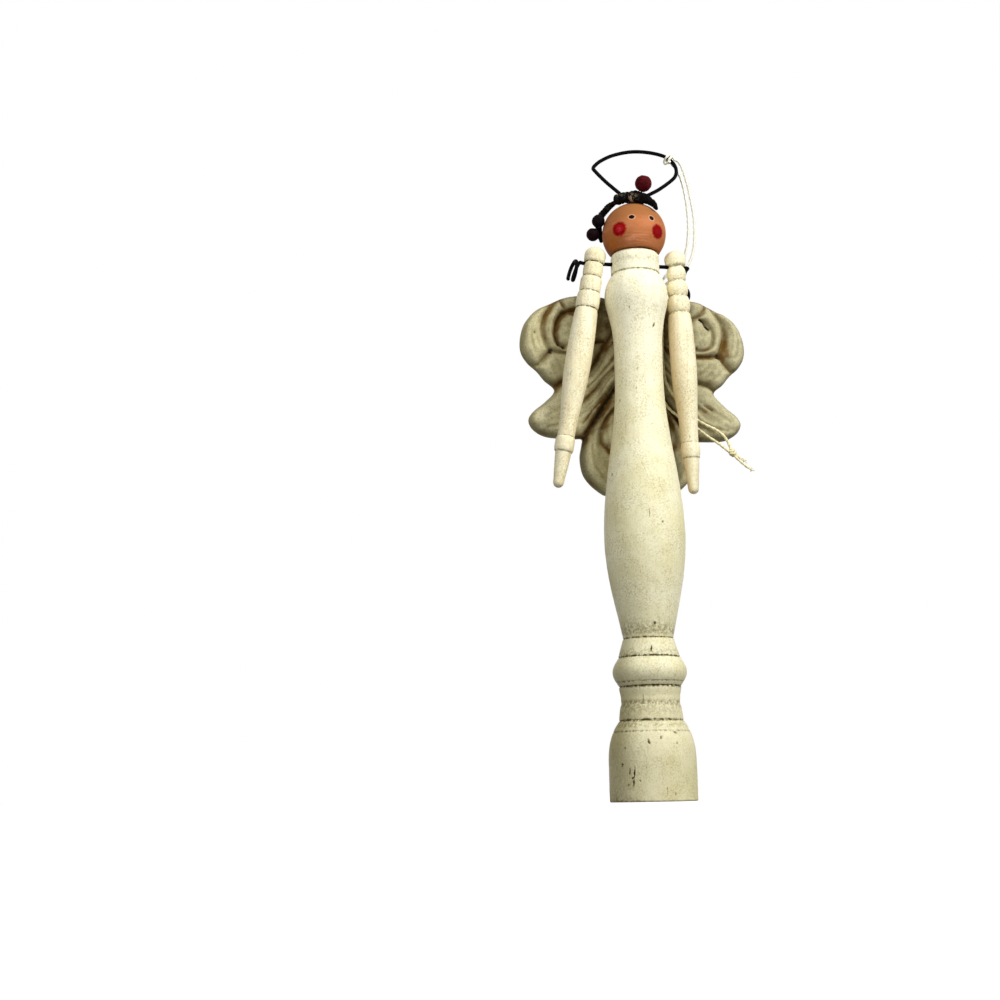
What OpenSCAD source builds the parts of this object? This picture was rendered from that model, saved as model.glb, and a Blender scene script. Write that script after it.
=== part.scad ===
// Angel doll made from a turned spindle: a lathe-turned body, a flat-bottomed ball head on a dowel,
// two peg arms hung on a wire through the collar, cast scroll wings screwed to the back, a wire halo,
// a berry garland and a hanging cord. Millimetres, +Z up; the doll faces -Y and stands on its foot.

/* [Spindle] */
// Diameter of the foot drum
foot_d = 33.3; // [28:0.1:40]
// Diameter at the top of the foot
foot_top_d = 24.8; // [20:0.1:28]
// Height of the foot up to its groove
foot_h = 30; // [24:0.1:40]
// Diameter of the neck above the foot
neck_d = 22.5; // [18:0.1:24]
// Height of the neck
neck_h = 13.4; // [10:0.1:18]
// Diameter of the turned ring
ring_d = 28.3; // [25:0.1:34]
// Diameter where the ring springs from the spindle
ring_seat_d = 23.7; // [20:0.1:25]
// Height of the turned ring
ring_h = 10.6; // [8:0.1:15]
// Diameter of the throat above the ring
throat_d = 19.2; // [15:0.1:22]
// Height of the throat
throat_h = 7.6; // [5:0.1:10]
// Largest diameter of the belly
belly_d = 31.4; // [27:0.1:36]
// Height from the throat to the belly's widest place
belly_h = 38.9; // [30:0.1:46]
// Diameter of the waist
waist_d = 19; // [15:0.1:22]
// Height from the belly to the waist
waist_h = 64.5; // [55:0.5:74]
// Diameter of the shoulder
shoulder_d = 25; // [22:0.1:30]
// Height from the waist to the shoulder
shoulder_h = 32; // [26:0.5:40]
// Height from the shoulder to the collar groove
crest_h = 9.5; // [7:0.1:13]
// Diameter of the collar
collar_d = 19.3; // [17.5:0.1:21.5]
// Height of the collar
collar_h = 9.1; // [7.5:0.1:11]
// Depth of the turned grooves
groove = 0.5; // [0.2:0.05:0.8]
// Rounding of the foot's lower edge
edge_round = 0.6; // [0.2:0.1:1.2]
// Rounding of the collar's upper edge
collar_round = 2.6; // [1:0.1:3.2]

/* [Head] */
// Diameter of the ball head
head_d = 25.4; // [22:0.1:30]
// Diameter of the flat that the head stands on
head_flat_d = 20; // [16:0.1:21.5]
// Turn of the head with its garland and halo about the spindle in degrees
head_turn = -12; // [-30:1:30]
// Diameter of the head dowel
dowel_d = 6; // [4:0.1:7]
// Length of the dowel in the head
dowel_up = 9; // [6:0.5:11]
// Length of the dowel in the body
dowel_down = 14; // [8:0.5:16]
// Depth of the crown hole
crown_depth = 8; // [5:0.5:9]
// Glue gap around the dowel, the screws and the berry stalks
glue_gap = 0.05; // [0.02:0.01:0.15]

/* [Arms] */
// Diameter of the arm's top knob
knob_d = 8.6; // [7:0.1:9.4]
// Height of the arm's top knob down to the wire hole
knob_h = 6.8; // [5.5:0.1:8]
// Height of the knob's domed top
knob_dome = 3.6; // [2.5:0.1:5]
// Number of beads under the knob
bead_count = 3; // [2:1:4]
// Diameter of the first bead
bead_d = 7.8; // [7:0.1:9]
// How much each next bead is wider
bead_step = 0.75; // [0:0.05:0.9]
// Height of the first bead
bead_h = 5.9; // [5:0.1:8]
// How much each next bead is taller
bead_grow = 0.5; // [0:0.1:0.8]
// Diameter of the shaft where it starts
shaft_top_d = 9.4; // [8:0.1:10]
// Largest diameter of the shaft
shaft_d = 10.3; // [8.5:0.1:11]
// Diameter of the shaft at its lower end
shaft_low_d = 7.6; // [6:0.1:9]
// Length of the shaft
shaft_h = 52.7; // [40:0.1:64]
// Diameter of the cuff bead
cuff_d = 7.7; // [6:0.1:9]
// Height of the cuff bead
cuff_h = 6.1; // [4:0.1:8]
// Diameter of the hand where it starts
hand_d = 6.3; // [5:0.1:7.5]
// Diameter of the hand near its tip
hand_tip_d = 4.2; // [3:0.1:5]
// Length of the hand
hand_h = 14.4; // [10:0.1:18]
// Depth of the grooves on the arms
arm_groove = 0.55; // [0.2:0.05:0.8]
// Outward lean of the left arm in degrees
left_splay = 10.8; // [4:0.1:14]
// Outward lean of the right arm in degrees
right_splay = 2.4; // [1:0.1:10]
// Gap between the left arm and the shoulder
left_gap = 2.3; // [0.5:0.1:4]
// Gap between the right arm and the shoulder
right_gap = 0.3; // [0.3:0.1:2]

/* [Arm wire] */
// Diameter of the wire of the arms and the halo
wire_d = 1.5; // [1:0.05:1.6]
// Depth of the wire below the collar's top
wire_drop = 5; // [4:0.1:6]
// Radial clearance of the arms on the wire
wire_fit = 0.08; // [0.04:0.01:0.1]
// Diameter of the end coils at the middle of the wire
coil_d = 7.6; // [6:0.1:9]
// Turns in each end coil
coil_turns = 1.5; // [1.25:0.25:2]
// Clear gap between two turns of a coil
coil_gap = 0.45; // [0.42:0.01:0.6]

/* [Halo] */
// Width of the halo loop
halo_w = 33.5; // [26:0.5:40]
// Height of the halo above the crown
halo_h = 25; // [20:0.5:32]
// Backward lean of the halo in degrees
halo_lean = 12; // [5:1:20]
// Gap between the halo's two legs in the crown hole
leg_gap = 0.5; // [0.45:0.05:0.9]

/* [Garland] */
// Thickness of the wrapped main stem
stem_d = 4; // [3:0.1:4.6]
// Thickness of the side sprig
sprig_d = 2.4; // [1.6:0.1:2.6]
// Thickness of a berry stalk
stalk_d = 0.9; // [0.6:0.1:1.2]
// Diameter of the top berry
berry_d = 6.6; // [5:0.1:7.2]
// Diameter of the two side berries
side_berry_d = 5.2; // [4:0.1:5.6]

/* [Wings] */
// Span of the wings
wing_span = 93.2; // [80:0.2:104]
// Height of the wings
wing_h = 82.2; // [74:0.2:90]
// How far the wings reach above the shoulder's widest place
wing_rise = 4.2; // [0:0.1:6]
// Sideways shift of the wings from the spindle's middle
wing_shift = 2; // [-3:0.5:3]
// Thickness of the casting's back plate
plate_t = 3.4; // [2.4:0.1:5]
// Height of the scroll relief in front of the plate
relief = 4; // [2:0.1:4.2]
// Depth of the flat on the body's back that seats the wings
seat_cut = 0.3; // [0.2:0.1:1.4]
// Shank diameter of the wing screws
screw_d = 2.4; // [1.8:0.1:3]
// Head diameter of the wing screws
screw_head_d = 5; // [4:0.1:6]
// Length of the wing screws in the body
screw_grip = 8; // [5:0.5:9]

/* [Cord] */
// Diameter of the cord
cord_d = 1.1; // [0.8:0.05:1.2]

/* [Hidden] */
$fn = 64;

cream = [0.90, 0.88, 0.78];
skin = [0.78, 0.52, 0.36];
wood = [0.80, 0.66, 0.46];
black = [0.08, 0.08, 0.09];
bark = [0.16, 0.11, 0.09];
burgundy = [0.36, 0.06, 0.08];
stone = [0.68, 0.64, 0.51];
brass = [0.70, 0.58, 0.32];
flax = [0.93, 0.89, 0.70];

// Heights along the spindle
foot_top = foot_h;
neck_top = foot_top + neck_h;
ring_top = neck_top + ring_h;
throat_z = ring_top + throat_h;
belly_z = throat_z + belly_h;
waist_z = belly_z + waist_h;
shoulder_z = waist_z + shoulder_h;
collar_z = shoulder_z + crest_h;
collar_top = collar_z + collar_h;

// Head, wire and crown
head_r = head_d / 2;
head_z = collar_top + sqrt(head_r * head_r - head_flat_d * head_flat_d / 4);
crown_z = head_z + head_r;
wire_r = wire_d / 2;
wire_z = collar_top - wire_drop;

// Arms: stations down the arm, measured from the wire hole
beads_h = bead_count * bead_h + bead_grow * bead_count * (bead_count - 1) / 2;
last_bead_d = bead_d + (bead_count - 1) * bead_step;
arm_at_shoulder_r = max(last_bead_d, shaft_top_d) / 2;
drop_to_shoulder = wire_z - shoulder_z;
left_x = shoulder_d / 2 + left_gap + arm_at_shoulder_r - drop_to_shoulder * tan(left_splay);
right_x = shoulder_d / 2 + right_gap + arm_at_shoulder_r - drop_to_shoulder * tan(right_splay);
arm_outer_r = max(knob_d, bead_d) / 2;
// Clear length of wire between an arm and its coil
wire_show = 0.15;
wire_left_end = left_x + arm_outer_r / cos(left_splay) + wire_show;
wire_right_end = right_x + arm_outer_r / cos(right_splay) + wire_show;
coil_r = coil_d / 2;
coil_pitch = wire_d + coil_gap;
coil_bend = 0.85;
coil_overlap = 0.3;
rings_per_loop = 24;
wire_sides = 6;

// Half outline of the wings: outward from the middle, height above the lower edge
wing_edge = [[0, 80.5], [10, 81], [17.3, 82.2], [23.5, 81.8], [29, 80.6], [34.5, 78], [39.5, 75.6],
             [42.8, 72.6], [45.2, 68.8], [46.6, 63], [46.3, 58], [43.8, 53.8], [40, 50.4], [37, 46.8],
             [33, 42.8], [37.4, 37.6], [42, 33.8], [43.8, 30.4], [42, 26.6], [36.5, 23.8], [26, 23.3],
             [22.4, 23.2], [22.5, 20.6], [23.3, 16.4], [23.1, 12.3], [22, 8.3], [19.3, 4.7], [15.4, 1.6],
             [12.5, 0.4], [6, 0], [0, 0]];
// The outline and the relief are drawn at one size, then stretched to the span and height
wing_sx = wing_span / 2 / max([for (p = wing_edge) p[0]]);
wing_sz = wing_h / max([for (p = wing_edge) p[1]]);
seat_y = shoulder_d / 2 - seat_cut;
wing_top = shoulder_z + wing_rise;
wing_bottom = wing_top - wing_h;
wing_back = seat_y + plate_t;
seat_margin = 0.5;
upper_screw_z = shoulder_z - 2;
lower_screw_z = wing_bottom + 11;
screw_head_h = 1.6;
screw_slot = 0.6;

// Scroll feathers of one wing: path, half width and share of the relief height
feathers = [
    [[[21, 78.6], [29, 76.8], [36.5, 72.6], [41.6, 66], [42, 59.6], [39, 55]], 3.6, 1],
    [[[24.5, 72.6], [31, 71], [35.4, 66], [34.8, 60.4], [29.5, 57.4]], 1.8, 0.8],
    [[[23.5, 68.5], [26.5, 65], [28.5, 61.5]], 4.2, 0.9],
    [[[24.5, 52.6], [29.5, 51], [35.5, 49]], 5, 0.85],
    [[[10, 66], [15.5, 57.5], [21, 50.5], [28.5, 46]], 2.8, 0.6],
    [[[10, 54], [17, 45], [27, 37.5], [39.5, 30.5]], 5, 0.9],
    [[[10, 44], [15, 36], [20.5, 30], [29.5, 26.5]], 2.8, 0.55],
    [[[11, 37], [16, 28], [18.8, 18.5], [17.5, 9.5], [13, 3.5]], 4.2, 0.5]];
feather_rings = 12;
feather_sides = 8;
feather_root = 1.2;

// Halo loop: share of the half width, share of the height above the crown
halo_loop = [[-0.17, 0.12], [-0.62, 0.44], [-0.87, 0.65], [-0.91, 0.70], [-0.87, 0.75],
             [-0.72, 0.84], [-0.42, 0.94], [0, 1], [0.42, 0.985], [0.80, 0.91], [1.0, 0.80],
             [1.09, 0.67], [1.08, 0.55], [0.98, 0.45], [0.64, 0.27], [0.30, 0.14]];
halo_steps = 3;
halo_sides = 8;
leg_x = wire_r + leg_gap / 2;
leg_room = 0.15;
crown_d = 2 * (leg_x + wire_r + leg_room);
leg_end = 0.4;
hitch_at = 0.60;

// Garland: compass angle from the front, height angle and lift of the stem's middle off the head
stem_lift = stem_d / 2 + 0.25;
sprig_lift = sprig_d / 2 + 0.3;
stem_route = [[48, 34, -0.85], [44, 44, -0.2], [35, 53, 0], [18, 61, 0], [-8, 66, 0.05], [-35, 65, 0.2],
              [-56, 59.5, 0.6]];
sprig_route = [[-47, 62, 1.1], [-76, 49.5, 0.8], [-89, 36.5, 1], [-94, 26.5, 1], [-101, 15, 0.35],
               [-109, 6, -0.1], [-114, -2, -0.3]];
stem_tip = 0.35;
stem_root = 0.9;
sprig_tip = 0.4;
garland_sides = 8;
garland_steps = 3;
stalk_sink = 1.2;

// Cord: the two strands leave the hitch, hang beside the head, pass behind the right arm and end
// in the knot; the points are chosen by hand
strand_a = [[17.9, 1.2, 257.3], [21.1, 1.6, 255.4], [23.7, 2.8, 249.6], [25.8, 4.3, 242.4],
            [27.4, 5.7, 235.2], [28, 7.1, 228.5], [27.8, 8.3, 222.2], [26.2, 9.4, 216.5],
            [22.7, 9.8, 212], [18.2, 9.8, 208.9], [14.8, 9.5, 204.9], [13.6, 9.3, 198.8],
            [13.3, 8.9, 190.8], [13, 8.4, 181.7], [12.7, 7.9, 173.6], [13.4, 7.4, 165.2],
            [16.4, 7.1, 159.4], [20.8, 7, 154], [25.3, 7.2, 150.2], [29.6, 7.5, 147.9],
            [33.6, 7.5, 146.1], [36.8, 7.4, 143.6], [38.6, 7.1, 140.5], [39.3, 6.9, 138.1]];
strand_b = [[17.2, 2.2, 256], [20.1, 2.8, 253], [22.5, 3.8, 247.9], [24.2, 5, 241.1],
            [25.2, 6.3, 234.3], [25.4, 7.4, 227.9], [24.7, 8.5, 221.4], [22.7, 9.5, 216.7],
            [19.3, 10.1, 213.2], [15.3, 10.1, 209.5], [12.7, 9.9, 204.4], [11.8, 9.8, 197.7],
            [11.4, 9.2, 188.6], [10.9, 8.6, 178.6], [10.6, 8.1, 168.5], [11.5, 7.6, 159.5],
            [14.2, 7.3, 154.3], [17.8, 7, 151.2], [22.1, 7, 148.6], [26.1, 7.2, 146],
            [30, 7.4, 143.3], [34, 7.3, 140.7], [36.9, 7, 138.4], [38.4, 6.8, 137.2]];
strand_sides = 8;
hitch_turns = 2;
knot_mid = [39.9, 6.8, 136.7];
knot_dir = [0.72, 0, -0.69];
knot_len = 4.4;
knot_r = 1.7;
tail_a = [[40.9, 6.8, 136.1], [43.3, 6.9, 134.4], [45.5, 7.1, 133]];
tail_b = [[40.7, 6.6, 135.3], [44, 6.3, 132.2], [47.7, 6, 129.3]];

// Shared geometry
function unit(v) = v / norm(v);
function blend(a, b, t) = a + (b - a) * t;
function swell(t) = (1 - cos(180 * t)) / 2;
function last(list) = list[len(list) - 1];

// Smooth curve through the given points
function curve_point(a, b, c, d, t) =
    0.5 * (2 * b + (c - a) * t + (2 * a - 5 * b + 4 * c - d) * t * t + (3 * b - a - 3 * c + d) * t * t * t);
function smooth(p, steps) = let (n = len(p) - 1) concat(
    [for (i = [0 : n - 1], k = [0 : steps - 1])
        curve_point(p[max(i - 1, 0)], p[i], p[i + 1], p[min(i + 2, n)], k / steps)],
    [p[n]]);

// Directions along a path, and a side direction carried along it without twist
function along(p) = let (n = len(p) - 1)
    [for (i = [0 : n]) unit(p[min(i + 1, n)] - p[max(i - 1, 0)])];
function square_to(t) = unit(cross(t, abs(t[2]) < 0.8 ? [0, 0, 1] : [1, 0, 0]));
function carried(n, t) = unit(n - (n * t) * t);
function sides_along(t) =
    [for (i = 0, n = square_to(t[0]); i < len(t); i = i + 1, n = i < len(t) ? carried(n, t[i]) : n) n];

// Skin over equal rings of points, closed at both ends
module skin_over(rings) {
    m = len(rings);
    s = len(rings[0]);
    walls = [for (i = [0 : m - 2], k = [0 : s - 1], half = [0, 1])
        let (a = i * s + k, b = i * s + (k + 1) % s, c = a + s, d = b + s)
        half == 0 ? [a, c, b] : [b, c, d]];
    start_cap = [for (k = [1 : s - 2]) [0, k, k + 1]];
    end_cap = [for (k = [1 : s - 2]) [(m - 1) * s, (m - 1) * s + k + 1, (m - 1) * s + k]];
    polyhedron([for (ring = rings, p = ring) p], concat(walls, start_cap, end_cap));
}

// Round tube along a path, with a radius for each point
module tube(path, radii, sides) {
    t = along(path);
    n = sides_along(t);
    skin_over([for (i = [0 : len(path) - 1])
        [for (k = [0 : sides - 1]) let (a = 360 * k / sides)
            path[i] + radii[i] * (cos(a) * n[i] + sin(a) * cross(t[i], n[i]))]]);
}

module even_tube(path, r, sides) {
    tube(path, [for (p = path) r], sides);
}

// Least clear distance between two turns of a wound wire, at points at least half a loop apart
function least_gap(p, d) = min([for (i = [0 : len(p) - 1], j = [0 : len(p) - 1])
    if (j - i >= rings_per_loop / 2) norm(p[i] - p[j]) - d]);

// Spindle profile: [radius, height] pairs from the foot to the collar
function spindle_profile() = let (
    foot_r = foot_d / 2, top_r = foot_top_d / 2, neck_r = neck_d / 2, seat_r = ring_seat_d / 2,
    ring_rise = (ring_d - ring_seat_d) / 2, throat_r = throat_d / 2, belly_r = belly_d / 2,
    waist_r = waist_d / 2, shoulder_r = shoulder_d / 2, collar_r = collar_d / 2,
    drum_h = foot_h * 0.47, ring_mid = (neck_top + ring_top) / 2)
    concat(
        [[0, 0], [foot_r - edge_round, 0], [foot_r, edge_round]],
        [for (i = [0 : 8]) let (t = i / 8)
            [blend(foot_r, top_r, pow(t, 2.6)), blend(drum_h, foot_top, t)]],
        [[top_r - groove, foot_top + groove / 2]],
        [for (i = [0 : 6]) let (t = i / 6)
            [blend(top_r - groove / 2, neck_r, swell(t)),
             blend(foot_top + groove, foot_top + neck_h * 0.66, t)]],
        [for (i = [1 : 3]) let (t = i / 3)
            [blend(neck_r, seat_r, swell(t)), blend(foot_top + neck_h * 0.66, neck_top - groove, t)]],
        [[seat_r - groove, neck_top - groove / 2]],
        [for (i = [0 : 12]) let (u = -1 + i / 6)
            [seat_r + ring_rise * cos(90 * u), ring_mid + u * ring_h / 2]],
        [[seat_r - groove, ring_top + groove / 2], [seat_r - groove / 4, ring_top + groove],
         [throat_r + groove / 2, throat_z - groove], [throat_r - groove / 2, throat_z - groove / 2]],
        [for (i = [0 : 12]) let (t = i / 12)
            [blend(throat_r, belly_r, sin(90 * pow(t, 1.1))), blend(throat_z, belly_z, t)]],
        [for (i = [1 : 14]) let (t = i / 14)
            [blend(belly_r, waist_r, swell(t)), blend(belly_z, waist_z, t)]],
        [for (i = [1 : 12]) let (t = i / 12)
            [blend(waist_r, shoulder_r, swell(pow(t, 2.4))), blend(waist_z, shoulder_z, t)]],
        [for (i = [1 : 8]) let (t = i / 8)
            [blend(shoulder_r, collar_r - groove, pow(t, 2.4)), blend(shoulder_z, collar_z, t)]],
        [[collar_r, collar_z + groove]],
        [for (i = [0 : 6]) let (a = 15 * i)
            [collar_r - collar_round * (1 - cos(a)), collar_top - collar_round * (1 - sin(a))]],
        [[0, collar_top]]);

// Barrel of one turned bead: [radius, height] pairs going down from its top
function barrel(z, h, r) = [for (i = [0 : 6]) let (u = -1 + i / 3)
    [r - arm_groove * pow(abs(u), bead_fullness), z - h * (u + 1) / 2]];
bead_fullness = 2.6;
function bead_top(b) = -b * bead_h - bead_grow * b * (b - 1) / 2;

// Arm profile going down from the knob; the wire hole is at height 0
function arm_profile() = let (
    shaft_z = -beads_h, cuff_z = shaft_z - shaft_h, hand_z = cuff_z - cuff_h, tip_z = hand_z - hand_h,
    hand_r = hand_d / 2, tip_r = hand_tip_d / 2, swell_at = 0.4)
    concat(
        [[0, knob_h]],
        [for (i = [1 : 6]) let (a = 15 * i)
            [knob_d / 2 * sin(a), knob_h - knob_dome * (1 - cos(a))]],
        [[knob_d / 2 - arm_groove, 0]],
        [for (b = [0 : bead_count - 1],
              p = barrel(bead_top(b), bead_h + b * bead_grow, (bead_d + b * bead_step) / 2)) p],
        [for (i = [0 : 4]) let (t = i / 4)
            [blend(shaft_top_d / 2 - arm_groove, shaft_d / 2, sin(90 * t)),
             shaft_z - arm_groove - shaft_h * swell_at * t]],
        [for (i = [1 : 6]) let (t = i / 6)
            [blend(shaft_d / 2, shaft_low_d / 2 - arm_groove, swell(t)),
             blend(shaft_z - shaft_h * swell_at, cuff_z, t)]],
        [for (p = barrel(cuff_z - arm_groove / 2, cuff_h - arm_groove / 2, cuff_d / 2)) p],
        [[hand_r, hand_z - arm_groove], [tip_r, tip_z + tip_r]],
        [for (i = [1 : 6]) let (a = 15 * i) [tip_r * cos(a), tip_z + tip_r * (1 - sin(a))]]);

module along_x(x0, x1, r) {
    translate([x0, 0, wire_z]) rotate([0, 90, 0]) cylinder(h = x1 - x0, r = r);
}

module arm(x, lean) {
    difference() {
        translate([x, 0, wire_z]) rotate([0, lean, 0]) rotate_extrude() polygon(arm_profile());
        along_x(x - arm_outer_r * 2, x + arm_outer_r * 2, wire_r + wire_fit);
    }
}

// End coil: straight lead, a bend of 90 degrees, then the turns; the axis runs along +X
function bend_points() = [for (i = [0 : 4]) let (a = 90 * i / 4)
    [coil_bend * sin(a), coil_bend * (1 - cos(a)), 0]];
function turn_points(start) = [for (i = [1 : coil_turns * rings_per_loop])
    let (a = 360 * i / rings_per_loop)
    start + [coil_pitch * i / rings_per_loop, coil_r * sin(a), coil_r * (cos(a) - 1)]];
function left_coil() = concat([[-coil_overlap, 0, 0]], bend_points(), turn_points(last(bend_points())));

// The right coil is tucked behind the arm: its lead runs straight back, then down to the coil's top;
// the coil's axis runs along +Y, and its middle is given from the arm's wire hole
right_coil_out = 4.1;
right_coil_drop = 8.4;
right_coil_room = 1.5;
right_coil_y = arm_at_shoulder_r + wire_r + right_coil_room;
right_coil_top = [right_x + right_coil_out, right_coil_y, coil_r - right_coil_drop];
function right_lead() = let (x = wire_right_end + coil_bend, t = right_coil_top) concat(
    [[wire_right_end - coil_overlap, 0, 0]],
    [for (p = bend_points()) p + [wire_right_end, 0, 0]],
    smooth([[x, t[1] * 0.3, 0], [x, t[1] * 0.55, t[2] * 0.06], [x, t[1] * 0.8, t[2] * 0.3],
            [x, t[1] * 0.93, t[2] * 0.68], right_turn(-12), t], 2));
function right_turn(a) = right_coil_top + [-coil_r * sin(a), coil_pitch * a / 360, coil_r * (cos(a) - 1)];
function right_coil() = concat(right_lead(),
    [for (i = [1 : coil_turns * rings_per_loop]) right_turn(360 * i / rings_per_loop)]);
left_coil_roll = 25;
left_coil_lean = 14;
echo(left_coil_least_gap = least_gap(left_coil(), wire_d));
echo(right_coil_least_gap = least_gap(right_coil(), wire_d));

// Halo path: down one leg, round the loop and down the other leg
function turned(p) = let (c = cos(head_turn), s = sin(head_turn))
    [p[0] * c - p[1] * s, p[0] * s + p[1] * c, p[2]];
function halo_plane(p) = let (rise = p[1] * halo_h)
    [p[0] * halo_w / 2, rise * sin(halo_lean), crown_z + rise * cos(halo_lean)];
function halo_path() = [for (p = concat(
    [[-leg_x, 0, crown_z - crown_depth + leg_end], [-leg_x, 0, crown_z - wire_d]],
    smooth(concat([[-leg_x, 0, crown_z]], [for (p = halo_loop) halo_plane(p)], [[leg_x, 0, crown_z]]),
           halo_steps),
    [[leg_x, 0, crown_z - wire_d], [leg_x, 0, crown_z - crown_depth + leg_end]])) turned(p)];
hitch_index = round(len(halo_path()) * hitch_at);
hitch_point = halo_path()[hitch_index];
hitch_dir = along(halo_path())[hitch_index];

// Places on and around the head: compass angle from the front, height angle, distance off it
function on_head(p, lift) = let (r = head_r + lift + p[2])
    turned([r * cos(p[1]) * sin(p[0]), -r * cos(p[1]) * cos(p[0]), head_z + r * sin(p[1])]);
function stem_path() = smooth([for (p = stem_route) on_head(p, stem_lift)], garland_steps);
function sprig_path() = smooth([for (p = sprig_route) on_head(p, sprig_lift)], garland_steps);
function swelling(path, r, first, end) = [for (i = [0 : len(path) - 1]) let (t = i / (len(path) - 1))
    r * blend(blend(first, end, t), 1, sqrt(sin(180 * blend(0.03, 0.97, t))))];
berry_top_at = on_head([24, 63.5, 0], stem_lift + stem_d / 2 + berry_d / 2 + 0.3);
berry_upper_at = on_head([-74.6, 17.7, 0], side_berry_d / 2 + 0.3);
berry_lower_at = on_head([-83, -0.8, 0], side_berry_d / 2 + 1.4);
stalk_top_foot = on_head([20, 60.5, 0], stem_lift);
stalk_upper_foot = on_head([-97, 21, 0], sprig_lift + 0.7);
stalk_lower_foot = on_head([-106, 9.5, 0], sprig_lift + 0.1);

// Point a solid along a direction from a point
module aim(from, dir) {
    translate(from)
        rotate([0, acos(dir[2] / norm(dir)), atan2(dir[1], dir[0])]) children();
}

module stalk(foot, berry, r) {
    aim(foot, berry - foot) cylinder(h = norm(berry - foot) - r + stalk_sink, d = stalk_d, $fn = 24);
}

module berry(at, foot, r) {
    difference() {
        translate(at) sphere(r);
        aim(at, foot - at) translate([0, 0, r - stalk_sink - glue_gap])
            cylinder(h = r, d = stalk_d + 2 * glue_gap, $fn = 24);
    }
}

// One feather of the relief: a rounded ridge over a root that is sunk in the plate
module feather(path, half_w, height) {
    p = smooth([for (q = path) [q[0] * wing_sx, seat_y, wing_bottom + q[1] * wing_sz]],
               ceil(feather_rings / (len(path) - 1)));
    t = along(p);
    n = len(p) - 1;
    skin_over([for (i = [0 : n])
        let (side = cross([0, -1, 0], t[i]), taper = sqrt(1 - pow(abs(2 * i / n - 1), 5) * 0.97))
        concat(
            [for (k = [0 : feather_sides]) let (a = 180 * k / feather_sides)
                p[i] + side * half_w * taper * cos(a) - [0, height * taper * sin(a), 0]],
            [p[i] - side * half_w * taper + [0, feather_root, 0],
             p[i] + side * half_w * taper + [0, feather_root, 0]])]);
}

module screw_hole(z, r, depth) {
    translate([0, seat_y - depth, z]) rotate([-90, 0, 0]) cylinder(h = depth + plate_t * 2, r = r, $fn = 32);
}

module body() color(cream) {
    difference() {
        rotate_extrude($fn = 96) polygon(spindle_profile());
        translate([0, 0, collar_top - dowel_down]) cylinder(h = dowel_down + 1, d = dowel_d + 2 * glue_gap);
        along_x(-shoulder_d, shoulder_d, wire_r + wire_fit);
        translate([-belly_d / 2, seat_y, wing_bottom - seat_margin])
            cube([belly_d, belly_d / 2, wing_h + 2 * seat_margin]);
        for (z = [upper_screw_z, lower_screw_z])
            screw_hole(z, screw_d / 2 + glue_gap, screw_grip + glue_gap);
    }
}

module head() color(skin) {
    difference() {
        intersection() {
            translate([0, 0, head_z]) sphere(head_r, $fn = 96);
            translate([-head_d, -head_d, collar_top]) cube(2 * head_d);
        }
        translate([0, 0, collar_top - 1]) cylinder(h = dowel_up + 1 + glue_gap, d = dowel_d + 2 * glue_gap);
        translate([0, 0, crown_z - crown_depth]) cylinder(h = crown_depth + 1, d = crown_d);
    }
}

module head_dowel() color(wood) {
    difference() {
        translate([0, 0, collar_top - dowel_down + glue_gap])
            cylinder(h = dowel_down + dowel_up - glue_gap, d = dowel_d);
        along_x(-dowel_d, dowel_d, wire_r + wire_fit);
    }
}

module left_arm() color(cream) arm(-left_x, left_splay);
module right_arm() color(cream) arm(right_x, -right_splay);

module arm_wire() color(black) {
    along_x(-wire_left_end, wire_right_end, wire_r);
    translate([-wire_left_end, 0, wire_z]) mirror([1, 0, 0]) rotate([0, -left_coil_lean, 0])
        rotate([left_coil_roll, 0, 0]) even_tube(left_coil(), wire_r, wire_sides);
    translate([0, 0, wire_z]) even_tube(right_coil(), wire_r, wire_sides);
}

module halo() color(black) even_tube(halo_path(), wire_r, halo_sides);

module garland_stem() color(bark)
    tube(stem_path(), swelling(stem_path(), stem_d / 2, stem_tip, stem_root), garland_sides);
module garland_sprig() color(bark)
    tube(sprig_path(), swelling(sprig_path(), sprig_d / 2, sprig_tip, sprig_tip), garland_sides);

module berry_top() color(burgundy) berry(berry_top_at, stalk_top_foot, berry_d / 2);
module berry_side_upper() color(burgundy) berry(berry_upper_at, stalk_upper_foot, side_berry_d / 2);
module berry_side_lower() color(burgundy) berry(berry_lower_at, stalk_lower_foot, side_berry_d / 2);
module stalk_top() color(bark) stalk(stalk_top_foot, berry_top_at, berry_d / 2);
module stalk_side_upper() color(bark) stalk(stalk_upper_foot, berry_upper_at, side_berry_d / 2);
module stalk_side_lower() color(bark) stalk(stalk_lower_foot, berry_lower_at, side_berry_d / 2);

module wing_plate() {
    half = smooth(wing_edge, 3);
    right = [for (p = half) [p[0] * wing_sx, wing_bottom + p[1] * wing_sz]];
    left = [for (i = [len(right) - 2 : -1 : 1]) [-right[i][0], right[i][1]]];
    translate([0, wing_back, 0]) rotate([90, 0, 0]) linear_extrude(plate_t) polygon(concat(right, left));
}

module wings() color(stone) {
    difference() {
        translate([wing_shift, 0, 0]) {
            wing_plate();
            for (flip = [0, 1], f = feathers)
                mirror([flip, 0, 0]) feather(f[0], f[1], f[2] * relief);
        }
        for (z = [upper_screw_z, lower_screw_z])
            screw_hole(z, screw_d / 2 + glue_gap, seat_margin);
    }
}

module wing_screw(z) {
    translate([0, wing_back, z]) rotate([-90, 0, 0]) difference() {
        union() {
            translate([0, 0, -plate_t - screw_grip])
                cylinder(h = plate_t + screw_grip + 0.1, d = screw_d, $fn = 32);
            cylinder(h = screw_head_h, d1 = screw_head_d, d2 = screw_head_d * 0.7, $fn = 32);
        }
        translate([-screw_head_d, -screw_slot / 2, screw_head_h - screw_slot])
            cube([2 * screw_head_d, screw_slot, 1]);
    }
}

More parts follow.
